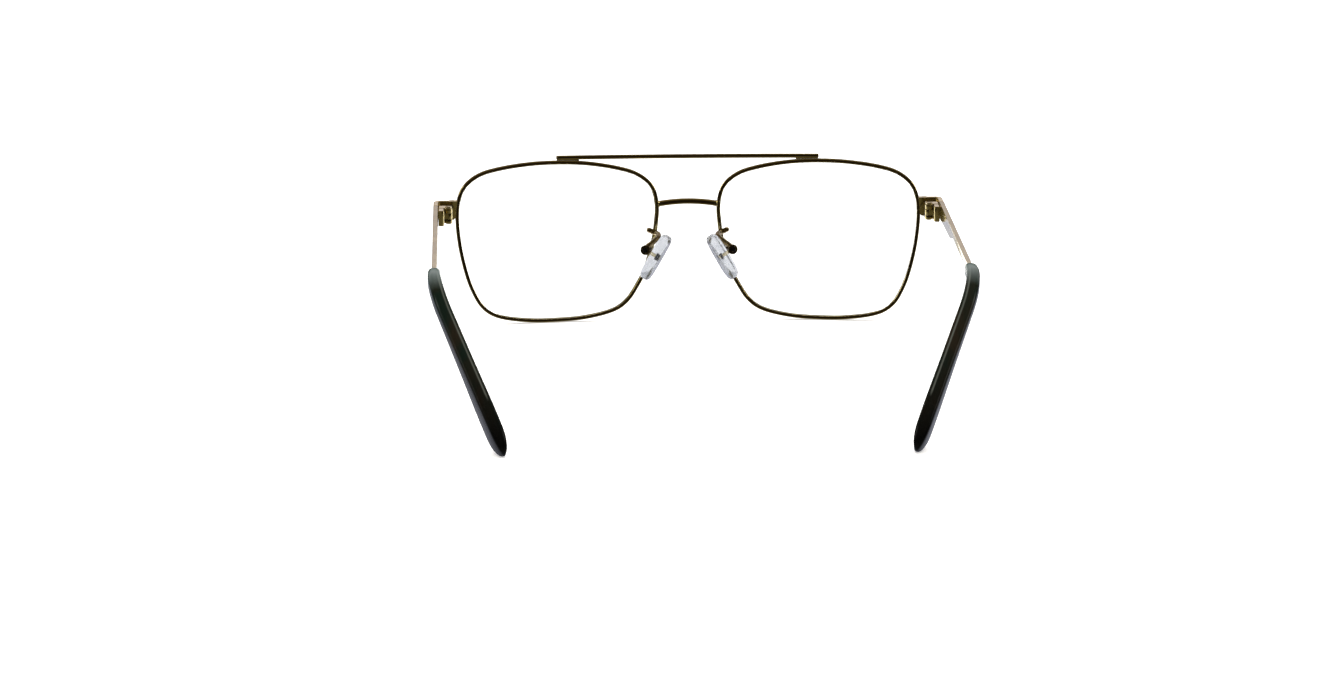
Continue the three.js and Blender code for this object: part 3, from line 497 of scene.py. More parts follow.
def sweep(name, points, section, sizes=None):
    """A section drawn along a line. The section's X points to the right of the way of travel."""
    profile = draw_line(f"{name}_section", section, closed=True, dimensions="2D")
    piece = to_mesh(draw_line(
        name, points, sizes, dimensions="3D", twist_mode="Z_UP", bevel_mode="OBJECT",
        bevel_object=profile, use_fill_caps=True,
    ))
    bpy.data.objects.remove(profile)
    return piece


def copy_of(node, name):
    """A copy of a CAD node's mesh, in millimetres, merged and all selected in edit mode."""
    piece = bpy.data.objects.new(name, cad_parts[node].data.copy())
    bpy.context.scene.collection.objects.link(piece)
    piece.data.name = name
    piece.data.transform(Matrix.Scale(1 / MILLIMETRE, 4))
    pick_all(piece)
    bpy.ops.mesh.remove_doubles(threshold=0.002)
    bpy.ops.mesh.select_all(action="SELECT")
    return piece


# Finishes


class Socket:
    """A shader node's output, so that shader maths can be written as expressions."""

    def __init__(self, finish, output):
        self.finish = finish
        self.output = output

    def maths(self, operation, first, second):
        return self.finish.node("ShaderNodeMath", {"operation": operation}, {0: first, 1: second})

    def __add__(self, other):
        return self.maths("ADD", self, other)

    def __radd__(self, other):
        return self.maths("ADD", other, self)

    def __mul__(self, other):
        return self.maths("MULTIPLY", self, other)

    def __rmul__(self, other):
        return self.maths("MULTIPLY", other, self)


class Finish:
    """A material or a world that is put together node by node."""

    def __init__(self, tree):
        self.tree = tree
        tree.nodes.clear()

    def node(self, kind, settings=None, inputs=None, output=0):
        """Adds a node, sets it first and then its sockets, and returns one of its outputs."""
        made = self.tree.nodes.new(kind)
        adjust(made, settings or {})
        for key, value in (inputs or {}).items():
            if isinstance(value, Socket):
                self.tree.links.new(value.output, made.inputs[key])
            else:
                made.inputs[key].default_value = value
        return Socket(self, made.outputs[output]) if len(made.outputs) else None

    def part(self, vector, axis):
        """One of the three values of a vector."""
        return self.node("ShaderNodeSeparateXYZ", inputs={"Vector": vector}, output=axis)

    def noise(self, size, detail=3, roughness=0.55, stretch=(1, 1, 1)):
        """A noise over the object whose features are about a size in millimetres, from 0 to 1."""
        place = self.node("ShaderNodeTexCoord", output="Object")
        return self.node("ShaderNodeTexNoise", inputs={
            "Vector": self.node("ShaderNodeMapping", inputs={"Vector": place, "Scale": stretch}),
            "Scale": 1 / (size * MILLIMETRE), "Detail": detail, "Roughness": roughness,
        })

    def ramp(self, value, low, high, shape="LINEAR"):
        """A value stretched so that low gives 0 and high gives 1."""
        return self.node("ShaderNodeMapRange", {"interpolation_type": shape}, {
            "Value": value, "From Min": low, "From Max": high,
        })

    def mix(self, factor, first, second):
        """A colour between two colours. A Mix node's colours are its seventh and eighth sockets,
        and its third output."""
        first, second = [
            value if isinstance(value, Socket) else (*value, 1) for value in (first, second)
        ]
        return self.node(
            "ShaderNodeMix", {"data_type": "RGBA"}, {0: factor, 6: first, 7: second}, output=2
        )

    def bump(self, height, distance, strength):
        """A normal bent by a height, with its distance in millimetres."""
        return self.node("ShaderNodeBump", inputs={
            "Height": height, "Distance": distance * MILLIMETRE, "Strength": strength,
        })

    def close(self, inputs):
        """Adds the surface shader and the material's output."""
        shader = self.node("ShaderNodeBsdfPrincipled", inputs=inputs)
        self.node("ShaderNodeOutputMaterial", inputs={"Surface": shader})


def gold_finish(finish, colours):
    """Antique gold plating: pale where it is handled, darker in soft patches, finely polished."""
    patches = finish.ramp(finish.noise(7, detail=4), 0.35, 0.7)
    grain = finish.noise(0.12, detail=2)
    scuffs = finish.ramp(finish.noise(0.9, detail=6, roughness=0.7, stretch=(1, 1, 4)), 0.45, 0.75)
    finish.close({
        "Base Color": finish.mix(patches * 0.7, colours.metal, colours.tarnish),
        "Metallic": 1.0,
        "Roughness": 0.10 + patches * 0.05 + scuffs * 0.08,
        "Coat Weight": 0.7,
        "Coat Roughness": 0.04,
        "Normal": finish.bump(grain, 0.003, 0.25),
    })


def screw_finish(finish, colours):
    """Turned screws, paler than the frame, with faint rings from the lathe."""
    rings = finish.noise(0.08, detail=1, stretch=(1, 1, 8))
    dirt = finish.ramp(finish.noise(0.6, detail=4), 0.5, 0.75)
    finish.close({
        "Base Color": finish.mix(dirt * 0.6, colours.screw, colours.tarnish),
        "Metallic": 1.0,
        "Roughness": 0.2 + dirt * 0.15,
        "Normal": finish.bump(rings, 0.006, 0.4),
    })


def bronze_finish(finish, colours):
    """The browner, duller metal of the pad arms and their boxes."""
    patches = finish.ramp(finish.noise(1.5, detail=4), 0.35, 0.65)
    grain = finish.noise(0.12, detail=2)
    dark = [value * 0.55 for value in colours.bronze]
    finish.close({
        "Base Color": finish.mix(patches * 0.8, colours.bronze, dark),
        "Metallic": 1.0,
        "Roughness": 0.2 + patches * 0.12,
        "Coat Weight": 0.4,
        "Coat Roughness": 0.08,
        "Normal": finish.bump(grain, 0.003, 0.3),
    })


def steel_finish(finish, colours):
    """The dark, sandy metal that is cast into the pads, made near black as painted shade for the
    pocket of the insert.
    """
    sand = finish.noise(0.1, detail=3)
    pale = (0.05, 0.05, 0.05)
    finish.close({
        "Base Color": finish.mix(sand, colours.steel, pale),
        "Metallic": 1.0,
        "Roughness": 0.4 + sand * 0.15,
        "Normal": finish.bump(sand, 0.01, 0.4),
    })


def tip_finish(finish, colours):
    """Polished acetate: nearly black green with faint clouds. Its thin end is greyer, painted light
    that stands for light shining through the thin acetate. The temple's core shows through as a
    paler stripe on the inner side."""
    temple = bpy.context.scene.spectacle_temples
    straight = finish.node("ShaderNodeAttribute", {"attribute_name": "straight"}, output="Vector")
    side, along, up = [finish.part(straight, axis) for axis in "XYZ"]
    thin = finish.ramp(along, temple.tip_start + 14, temple.tip_start + 5)
    low = finish.ramp(along, temple.temple_length - 4, temple.temple_length - 32)
    clouds = finish.noise(5, detail=4, stretch=(1, 0.35, 0.35))
    streaks = finish.noise(1.6, detail=3, stretch=(1, 0.12, 1))
    # Painted light: the thin end is painted grey green, in streaks, for light shining through the
    # thin acetate.
    mouth = thin * (0.55 + streaks * 0.9)
    marbled = finish.mix(finish.ramp(clouds, 0.42, 0.62), colours.tip, colours.tip_marbling)
    black = (0.002, 0.002, 0.002)
    stripe = (0.075, 0.08, 0.068)
    core = (
        finish.ramp(side, -1.1, -0.9) * finish.ramp(side, -0.45, -0.65) * finish.ramp(up, 0, 0.5)
        * finish.ramp(along, temple.core_end + 4, temple.core_end + 2)
    )
    seen = finish.mix(core * (0.6 + clouds * 0.5), finish.mix(low, black, marbled), stripe)
    wear = finish.ramp(finish.noise(1.2, detail=5), 0.5, 0.8)
    finish.close({
        "Base Color": finish.mix(mouth, seen, colours.tip_mouth),
        "Roughness": 0.2 + wear * 0.10,
        "Specular IOR Level": 0.1,
        "Coat Weight": 0.05 + low * 0.07,
        "Coat Roughness": 0.08,
        "Coat IOR": 1.5,
        "Normal": finish.bump(finish.noise(2.5, detail=2), 0.02, 0.4),
    })


def lens_finish(finish, colours):
    """A clear coated lens that bends light very little and carries faint smears."""
    smears = finish.ramp(finish.noise(9, detail=5), 0.45, 0.8)
    smeared = (0.97, 0.98, 0.98)
    finish.close({
        "Base Color": finish.mix(smears * 0.5, colours.lens, smeared),
        "Roughness": smears * 0.02,
        "IOR": 1.12,
        "Transmission Weight": 1.0,
    })


def lens_edge_painted_shade_finish(finish, colours):
    """The ground bevel of a lens, painted dark as the shade of the rim's groove behind it."""
    grit = finish.noise(0.3, detail=3)
    pale = (0.10, 0.085, 0.04)
    finish.close({
        "Base Color": finish.mix(grit, colours.lens_edge_painted_shade, pale),
        "Roughness": 0.5 + grit * 0.2,
        "Specular IOR Level": 0.2,
    })


def pad_finish(finish, colours):
    """Clear silicone, a little milky, painted greyer where it turns away from view, as painted
    shade at its edges.
    """
    haze = finish.noise(1.6, detail=3)
    milky = (0.55, 0.57, 0.60)
    painted_edge_shade = (0.13, 0.13, 0.14)
    body = finish.mix(finish.ramp(haze, 0.35, 0.65) * 0.5, colours.pad, milky)
    facing = finish.node("ShaderNodeLayerWeight", inputs={"Blend": 0.35}, output="Facing")
    finish.close({
        # Painted shade: the base colour darkens where the surface turns away from view.
        "Base Color": finish.mix(finish.ramp(facing, 0.35, 0.95), body, painted_edge_shade),
        "Roughness": 0.10 + haze * 0.10,
        "IOR": 1.41,
        "Transmission Weight": 0.9,
        "Normal": finish.bump(haze, 0.03, 0.3),
    })


def floor_finish(finish, colours):
    """A pale matt floor with a very faint grain."""
    grain = finish.noise(30, detail=3)
    dim = [value * 0.985 for value in colours.floor]
    finish.close({
        "Base Color": finish.mix(grain, colours.floor, dim),
        "Roughness": 0.75 + grain * 0.05,
        "Specular IOR Level": 0.2,
        "Emission Color": (1.0, 1.0, 1.0, 1.0),
        "Emission Strength": 0.45,
    })


FINISHES = {
    "metal": ("antique_gold", gold_finish),
    "screw": ("turned_screw", screw_finish),
    "bronze": ("dull_bronze", bronze_finish),
    "steel": ("dark_steel", steel_finish),
    "tip": ("dark_acetate", tip_finish),
    "lens": ("clear_lens", lens_finish),
    "lens_edge": ("lens_edge_painted_shade", lens_edge_painted_shade_finish),
    "pad": ("clear_silicone", pad_finish),
    "floor": ("pale_floor", floor_finish),
}


def finish_for(key):
    """A finish that is made once and then shared."""
    name, put_together = FINISHES[key]
    material = bpy.data.materials.get(name)
    if not material:
        material = bpy.data.materials.new(name)
        material.use_nodes = True
        put_together(Finish(material.node_tree), bpy.context.scene.spectacle_colours)
    return material


# Frames that the pieces are drawn in


def front_frame():
    """From the front's own upright frame to the standing frame."""
    return Matrix.Translation(FRONT_PLACE) @ Matrix.Rotation(FRONT_TILT, 4, "X")


def eye_frame():
    """From the left eye's drawing, seen from the front with its depth on -Z, to the standing
    frame."""
    eye = Matrix.Translation((EYE_CENTRE, 0, 0)) @ Matrix.Rotation(EYE_WRAP, 4, "Z")
    return front_frame() @ eye @ Matrix.Rotation(math.radians(90), 4, "X")


def pad_frame(out=1):
    """From a pad's frame, with X away from the nose and Y along its screw, to the standing frame.
    For the right pad, out is -1."""
    turn = Matrix.Rotation(-PAD_SPLAY, 4, "Z") @ Matrix.Rotation(-PAD_SLOPE, 4, "Y")
    tilt = Matrix.Rotation(FRONT_TILT, 4, "X")
    return Matrix.Diagonal((out, 1, 1, 1)) @ (Matrix.Translation(PAD_PLACE) @ tilt @ turn)


def temple_frame():
    """From the left temple's own line, which starts along +Y, to the standing frame."""
    turn = Matrix.Rotation(TEMPLE_RISE, 4, "X") @ Matrix.Rotation(TEMPLE_CONVERGE, 4, "Z")
    return Matrix.Translation(TEMPLE_PLACE) @ turn


def temple_heading(sizes, at):
    """How the temple is turned at a length along it, as columns for side, along and up."""
    share = min(max((at - sizes.bend_start) / sizes.bend_arc, 0), 1)
    down = sizes.bend_down * share
    inward = sizes.bend_in * share
    twist = sizes.twist * share
    along = Vector((
        -math.sin(inward),
        math.cos(inward) * math.cos(down),
        -math.cos(inward) * math.sin(down),
    ))
    side = along.cross(Vector((0, math.sin(down), math.cos(down)))).normalized()
    up = side.cross(along)
    turned_side = side * math.cos(twist) + up * math.sin(twist)
    turned_up = up * math.cos(twist) - side * math.sin(twist)
    return Matrix((turned_side, along, turned_up)).transposed()


# Stock that is drawn out straight and then bent


def start_stock(name, width, top, bottom, corner, segments, start):
    """A face with rounded corners across +Y, to be drawn out into a bar."""
    select_nothing()
    bpy.ops.mesh.primitive_plane_add(size=1)
    stock = bpy.context.object
    stock.name = stock.data.name = name
    pick_all(stock)
    bpy.ops.transform.rotate(
        value=math.radians(90), orient_axis="X", center_override=(0, 0, 0)
    )
    bpy.ops.transform.resize(value=(width, 1, top - bottom), center_override=(0, 0, 0))
    bpy.ops.transform.translate(value=(0, start, (top + bottom) / 2))
    bpy.ops.mesh.bevel(offset=corner, segments=segments, affect="VERTICES")
    object_mode()
    return stock


def push_on(at, lengths):
    """Extrudes what is selected from one length along the stock on to each of the others."""
    for here in lengths:
        bpy.ops.mesh.extrude_region_move(TRANSFORM_OT_translate={"value": (0, here - at, 0)})
        at = here
    object_mode()


def draw_out(stock, lengths):
    """Pulls the end face on to each length in turn, with the section kept."""
    at = max(vertex.co.y for vertex in stock.data.vertices)
    pick(stock, "FACE", lambda face: face.center.y > at - HAIR)
    push_on(at, lengths)


def shape_ring(stock, at, first, wanted, shrink=1):
    """Spreads or draws in the two halves of a ring, so that its corners keep their radius."""
    (width, top, bottom), (new_width, new_top, new_bottom) = first, wanted
    middle = (top + bottom) / 2
    moves = [
        (lambda co: co.x > 0, ((new_width - width) / 2, 0, 0)),
        (lambda co: co.x < 0, ((width - new_width) / 2, 0, 0)),
        (lambda co: co.z > middle, (0, 0, new_top - top)),
        (lambda co: co.z < middle, (0, 0, new_bottom - bottom)),
    ]
    ring = [vertex for vertex in stock.data.vertices if abs(vertex.co.y - at) < HAIR]
    halves = [({v.index for v in ring if test(v.co)}, move) for test, move in moves]
    for chosen, move in halves:
        if any(move):
            pull(stock, lambda v: v.index in chosen, move)
    if shrink < 1:
        pick(stock, "VERT", lambda v: abs(v.co.y - at) < HAIR)
        centre = (0, at, (new_top + new_bottom) / 2)
        bpy.ops.transform.resize(value=(shrink, 1, shrink), center_override=centre)
    object_mode()


def bend_stations(sizes):
    """Lengths along the temple, from the start of its bend to the end."""
    end = sizes.bend_start + sizes.bend_arc
    return [sizes.bend_start, *spaced(sizes.bend_start, end, BEND_STEPS)]


def bend_stock(stock, sizes, lengths):
    """Bends straight stock along the temple's line, one ring after the other."""
    along = {vertex.index: vertex.co.y for vertex in stock.data.vertices}
    middle = {at: Vector((0, at, 0)) for at in lengths}

    def turn_from(at, pivot, turn):
        pick(stock, "VERT", lambda v: along[v.index] > at - HAIR)
        for axis, angle in zip("XYZ", turn.to_euler("XYZ")):
            if angle:
                bpy.ops.transform.rotate(value=-angle, orient_axis=axis, center_override=pivot)
        for later in middle:
            if later > at - HAIR:
                middle[later] = pivot + turn @ (middle[later] - pivot)

    for before, here in zip(lengths, lengths[1:]):
        start = temple_heading(sizes, before)
        half = temple_heading(sizes, (before + here) / 2)
        end = temple_heading(sizes, here)
        if start != end:
            turn_from(here, middle[before].copy(), half @ start.inverted())
            turn_from(here, middle[here].copy(), end @ half.inverted())
    object_mode()


# Operators


class SpectacleRims(bpy.types.Operator):
    """Draws the grooved eye wires, each open at its joint."""

    bl_idname = "spectacles.rims"
    bl_label = "Rims"

    def execute(self, context):
        sizes = context.scene.spectacle_front
        wall, lip, half, soft = sizes.rim_wall, sizes.rim_lip, sizes.rim_depth / 2, sizes.rim_round
        section = rounded([
            (wall, -half, soft), (wall, half, soft), (-lip, half, LIP_ROUND),
            (-lip, GROOVE_HALF, MOUTH_ROUND), (0, 0, BOTTOM_ROUND),
            (-lip, -GROOVE_HALF, MOUTH_ROUND), (-lip, -half, LIP_ROUND),
        ])
        line = outline(EYE_SHARES, sizes.lens_width, sizes.lens_height, 8)
        for _ in range(EYE_EASINGS):
            line = [(a + 2 * b + c) / 4 for a, b, c in zip(line[-1:] + line, line, line[1:] + line)]
        gap = sizes.rim_slit / 2
        line.append(line[0].copy())
        line[0] += (line[1] - line[0]).normalized() * gap
        line[-1] += (line[-2] - line[-1]).normalized() * gap
        points = [(p.x, p.y, -(p.x ** 2 + p.y ** 2) / (2 * sizes.lens_curve)) for p in line]
        rim = sweep("eye_rim_left", points, section)
        set_down(rim, 40, eye_frame())
        both_hands(rim, "front", "rim_{}", "metal")
        return {"FINISHED"}


class SpectacleLenses(bpy.types.Operator):
    """Smooths the lenses and gives them clear glass, with a ground edge that is painted dark as the
    shade of the groove behind it.
    """

    bl_idname = "spectacles.lenses"
    bl_label = "Lenses"

    def execute(self, context):
        for hand in HANDS:
            node = f"lens_{hand}"
            lens = copy_of(node, f"clear_{node}")
            bpy.ops.mesh.tris_convert_to_quads(
                face_threshold=math.radians(12), shape_threshold=math.radians(60)
            )
            set_down(lens, 30)
            hand_over(lens, "front", node, "lens")
            lens.data.materials.append(finish_for("lens_edge"))
            # The edge faces take the painted shade of the groove.
            for face in lens.data.polygons:
                face.material_index = int(abs(face.normal.y) < EDGE_FACING)
            lens.visible_shadow = False
        return {"FINISHED"}


def arch_over(places, reach, rear, bow, level, rise):
    """Points across the nose that bow forward and arch up towards the middle."""
    points = []
    for across in places:
        arch = 1 - (across / reach) ** 2
        points.append((across, rear - bow * arch, level + rise * arch))
    return points


class SpectacleBridge(bpy.types.Operator):
    """Draws the arched bridge, with its ends swelling into the braze on the rims."""

    bl_idname = "spectacles.bridge"
    bl_label = "Bridge"

    def execute(self, context):
        sizes = context.scene.spectacle_front
        x, y, soft = sizes.bridge_depth / 2, sizes.bridge_height / 2, sizes.bridge_round
        section = rounded([(x, -y, soft), (x, y, soft), (-x, y, soft), (-x, -y, soft)])
        ends = [-share for share in reversed(BRAZE_STATIONS)]
        shares = [*ends, *spaced(-0.92, 0.92, 24), *BRAZE_STATIONS]
        points = arch_over(
            [share * sizes.bridge_reach for share in shares], sizes.bridge_reach,
            BRIDGE_REAR, sizes.bridge_bow, BRIDGE_LEVEL, sizes.bridge_rise,
        )
        nears = [max(abs(share) - (1 - BRAZE_SHARE), 0) / BRAZE_SHARE for share in shares]
        swell = [1 + (sizes.bridge_flare - 1) * near ** 2 for near in nears]
        bridge = sweep("arched_bridge", points, section, swell)
        set_down(bridge, 40, front_frame())
        hand_over(bridge, "front", "bridge", "metal")
        return {"FINISHED"}


class SpectacleBrowBar(bpy.types.Operator):
    """Bends the slim bar that lies over the two rims, and rounds its ends."""

    bl_idname = "spectacles.brow_bar"
    bl_label = "Brow bar"

    def execute(self, context):
        sizes = context.scene.spectacle_front
        x, y, soft = sizes.brow_depth / 2, sizes.brow_height / 2, sizes.brow_round
        section = rounded([(x, -y, soft), (x, y, soft), (-x, y, soft), (-x, -y, 1.5 * soft)])
        reach = EYE_CENTRE - soft
        angles = [math.radians(angle) for angle in (10, 35, 60, 80)]
        ends = [reach + soft * math.cos(angle) for angle in angles]
        narrow = [1 - soft / y * (1 - math.sin(angle)) for angle in angles]
        middle = [-reach, *spaced(-reach, reach, 36)]
        points = arch_over(
            [*[-end for end in ends], *middle, *reversed(ends)], EYE_CENTRE,
            BROW_REAR, sizes.brow_bow, BROW_LEVEL, sizes.brow_rise,
        )
        bar = sweep(
            "long_brow_bar", points, section, [*narrow, *[1] * len(middle), *reversed(narrow)]
        )
        set_down(bar, 40, front_frame())
        hand_over(bar, "front", "brow_bar", "metal")
        return {"FINISHED"}


class SpectaclePadArms(bpy.types.Operator):
    """Bends the wires that carry the nose pads."""

    bl_idname = "spectacles.pad_arms"
    bl_label = "Pad arms"

    def execute(self, context):
        sizes = context.scene.spectacle_pads
        points = smooth_line(ARM_POINTS, 10)
        swell = [*STUB_SHARES, *[1] * (len(points) - len(STUB_SHARES))]
        wire = to_mesh(draw_line(
            "pad_wire_left", points, swell, dimensions="3D", bevel_mode="ROUND",
            bevel_depth=sizes.arm_radius, bevel_resolution=5, use_fill_caps=True,
        ))
        set_down(wire, 50)
        both_hands(wire, "front", "pad_arm_{}", "bronze")
        return {"FINISHED"}


class SpectacleNosePads(bpy.types.Operator):
    """Shapes the clear nose pads round the metal that is cast into them."""

    bl_idname = "spectacles.nose_pads"
    bl_label = "Nose pads"

    def execute(self, context):
        sizes = context.scene.spectacle_pads
        pad = to_mesh(draw_line(
            "soft_pad_left", outline(PAD_SHARES, sizes.pad_width, sizes.pad_length, 5),
            closed=True, dimensions="2D", fill_mode="BOTH",
            extrude=sizes.pad_thickness / 2 - sizes.pad_round, bevel_depth=sizes.pad_round,
            bevel_resolution=6, offset=-sizes.pad_round,
        ))
        # The drawing's X, Y and Z become the pad's own Y, Z and X.
        stand = Matrix(((0, 0, 1, 0), (1, 0, 0, 0), (0, 1, 0, 0), (0, 0, 0, 1)))
        middle = (-sizes.pad_back - sizes.pad_thickness / 2, 0, -sizes.pad_low)
        set_down(pad, 40, pad_frame() @ Matrix.Translation(middle) @ stand)
        both_hands(pad, "pad_{}", "nose_pad_{}", "pad")
        return {"FINISHED"}


class SpectacleTemples(bpy.types.Operator):
    """Draws out and bends the temples' metal."""

    bl_idname = "spectacles.temples"
    bl_label = "Temples"

    def execute(self, context):
        sizes = context.scene.spectacle_temples
        top = sizes.bar_height / 2
        first = (sizes.strip, top, top - sizes.paddle_height)
        stock = start_stock("temple_bar_left", *first, sizes.edge, 3, sizes.front_gap)
        fall = spaced(0, 1, 12)
        steps = [sizes.paddle_length + sizes.step_length * share for share in fall]
        bar_end = sizes.tip_start - sizes.bar_end
        core = [sizes.tip_start, *bend_stations(sizes), sizes.core_end]
        lengths = [sizes.paddle_length, *steps, bar_end, *core]
        draw_out(stock, lengths)

        # How far down each station reaches. The step falls along half a wave.
        shape_ring(stock, sizes.paddle_length, first, (sizes.strip, top, top - sizes.paddle_end))
        for share, at in zip(fall, steps):
            drop = (1 - math.cos(math.pi * share)) / 2
            height = sizes.paddle_end + (sizes.bar_height - sizes.paddle_end) * drop
            shape_ring(stock, at, first, (sizes.strip, top, top - height))
        shape_ring(stock, bar_end, first, (sizes.strip, top, -top))
        for at in core:
            shape_ring(stock, at, first, (sizes.core_thickness, top, top - sizes.core_height))

        bend_stock(stock, sizes, [sizes.front_gap, *lengths])
        face_outwards(stock)
        set_down(stock, 35, temple_frame())
        both_hands(stock, "temple_arm_{}", "temple_{}", "metal")
        return {"FINISHED"}


class SpectacleTips(bpy.types.Operator):
    """Draws out, hollows and bends the acetate tips."""

    bl_idname = "spectacles.tips"
    bl_label = "Temple tips"

    def execute(self, context):
        sizes = context.scene.spectacle_temples
        start = sizes.tip_start
        mouth = sizes.tip_mouth
        first = (mouth, mouth / 2, -mouth / 2)
        stock = start_stock("temple_sleeve_left", *first, sizes.tip_round, 5, start)
        lips = [start + MOUTH_REACH * (1 - math.cos(angle)) for angle in MOUTH_ANGLES]
        bends = bend_stations(sizes)
        nose = sizes.temple_length - sizes.tip_nose
        legs = spaced(bends[-1], nose, 12)
        ends = [nose + sizes.tip_nose * math.sin(angle) for angle in NOSE_ANGLES]
        draw_out(stock, [*lips, *bends, *legs, *ends])

        def full(at):
            share = (at - start) / (sizes.temple_length - start)
            width = value_at(TIP_THICKNESS_SHARES, share) * sizes.tip_thickness
            height = value_at(TIP_HEIGHT_SHARES, share) * sizes.tip_height
            return width, height / 2, -height / 2

        for at, angle in zip(lips, MOUTH_ANGLES):
            wanted = [a + (b - a) * math.sin(angle) for a, b in zip(first, full(at))]
            shape_ring(stock, at, first, wanted)
        for at in [*bends, *legs]:
            shape_ring(stock, at, first, full(at))
        for at, angle in zip(ends, NOSE_ANGLES):
            shape_ring(stock, at, first, full(nose), math.cos(angle))

        # The socket: an inset at the mouth that is pushed in along the same stations.
        pick(stock, "FACE", lambda face: face.center.y < start + HAIR)
        bpy.ops.mesh.inset(thickness=SOCKET_WALL)
        push_on(start, [*lips, *bends])

        # Each point's place on the straight stock, for patterns that follow the bend.
        straight = stock.data.attributes.new(name="straight", type="FLOAT_VECTOR", domain="POINT")
        for point, vertex in zip(straight.data, stock.data.vertices):
            point.vector = vertex.co
        bend_stock(stock, sizes, [start, *lips, *bends, *legs, *ends])
        set_down(stock, 40, temple_frame())
        both_hands(stock, "temple_arm_{}", "temple_tip_{}", "tip")
        return {"FINISHED"}


class SpectacleFittings(bpy.types.Operator):
    """Breaks the edges of the small fittings and gives them their metal."""

    bl_idname = "spectacles.fittings"
    bl_label = "Fittings"

    # The solid, the body, the finish and the width of the broken edge in millimetres.
    FITTINGS = [
        ("endpiece", "front", "metal", 0.12),
        ("closing_block_upper", "front", "metal", 0.12),
        ("closing_block_lower", "front", "metal", 0.12),
        ("brow_foot", "front", "metal", 0.1),
        ("pad_box", "front", "bronze", 0.1),
        ("hinge_front_leaf", "front", "metal", 0.1),
        ("hinge_temple_leaf", "temple_arm_{}", "metal", 0.1),
        ("lock_screw", "front", "screw", 0.04),
        ("pad_screw", "front", "steel", 0.04),
        ("hinge_screw", "front", "screw", 0.05),
        ("pad_insert", "pad_{}", "steel", 0.06),
    ]

    # How far an end is run on into its neighbour, and what counts as the end: so much of the
    # piece, or of a block all that lies nearer the nose than a place across the face.
    ENDPIECE_RUN, ENDPIECE_END = 0.26, 0.3
    BLOCK_RUN, BLOCK_END = 0.3, 65.25
    SCREW_RUN, SCREW_END = 0.14, 0.1

    # In the pad's frame: how the box grows, and how the plate of the insert is slimmed and moved.
    # The insert is plate before PLATE_END. Its stem is the paler screw metal after STEM_START, and
    # before that it keeps the near-black metal that is painted shade.
    BOX_GROWTH = (1.12, 1, 1.12)
    PLATE_SHRINK, PLATE_CENTRE, PLATE_MOVE = (0.5, 0.5, 0.85), (-3.35, 0, 0), (-0.3, 0, 0)
    PLATE_END = -2.6
    STEM_START = -2.8

    def run_on(self, piece, stem, out):
        """Runs a brazed fitting on into its neighbour, and sizes the metal at a pad."""
        if stem == "endpiece":
            end = min(abs(vertex.co.x) for vertex in piece.data.vertices) + self.ENDPIECE_END
            pull(piece, lambda v: abs(v.co.x) < end, (-self.ENDPIECE_RUN * out, 0, 0))
        elif stem in ("closing_block_upper", "closing_block_lower"):
            pull(piece, lambda v: abs(v.co.x) < self.BLOCK_END, (-self.BLOCK_RUN * out, 0, 0))
        elif stem == "lock_screw":
            end = max(vertex.co.z for vertex in piece.data.vertices) - self.SCREW_END
            pull(piece, lambda v: v.co.z > end, (0, 0, self.SCREW_RUN))
        elif stem in ("pad_insert", "pad_box"):
            there = pad_frame(out)
            piece.data.transform(there.inverted())
            if stem == "pad_box":
                pick_all(piece)
                bpy.ops.transform.resize(value=self.BOX_GROWTH, center_override=(0, 0, 0))
            else:
                pick(piece, "VERT", lambda v: v.co.x < self.PLATE_END)
                bpy.ops.transform.resize(
                    value=self.PLATE_SHRINK, center_override=self.PLATE_CENTRE
                )
                bpy.ops.transform.translate(value=self.PLATE_MOVE)
            object_mode()
            piece.data.transform(there)

    def brighten_stem(self, insert, out):
        """Gives the stem of a pad's insert the screws' paler metal."""
        insert.data.materials.append(finish_for("screw"))
        back = pad_frame(out).inverted()
        for face in insert.data.polygons:
            deep = (back @ (face.center / MILLIMETRE)).x < self.STEM_START
            face.material_index = 0 if deep else 1

    def execute(self, context):
        for stem, body, finish, edge in self.FITTINGS:
            for hand, out in zip(HANDS, (1, -1)):
                node = f"{stem}_{hand}"
                piece = copy_of(node, f"fine_{node}")
                bpy.ops.mesh.dissolve_limited(angle_limit=math.radians(1))
                object_mode()
                self.run_on(piece, stem, out)
                apply_modifier(
                    piece, "BEVEL", width=edge, segments=2, limit_method="ANGLE",
                    angle_limit=math.radians(40), use_clamp_overlap=True,
                )
                set_down(piece, 40)
                hand_over(piece, body.format(hand), node, finish)
                if stem == "pad_insert":
                    self.brighten_stem(piece, out)
        return {"FINISHED"}


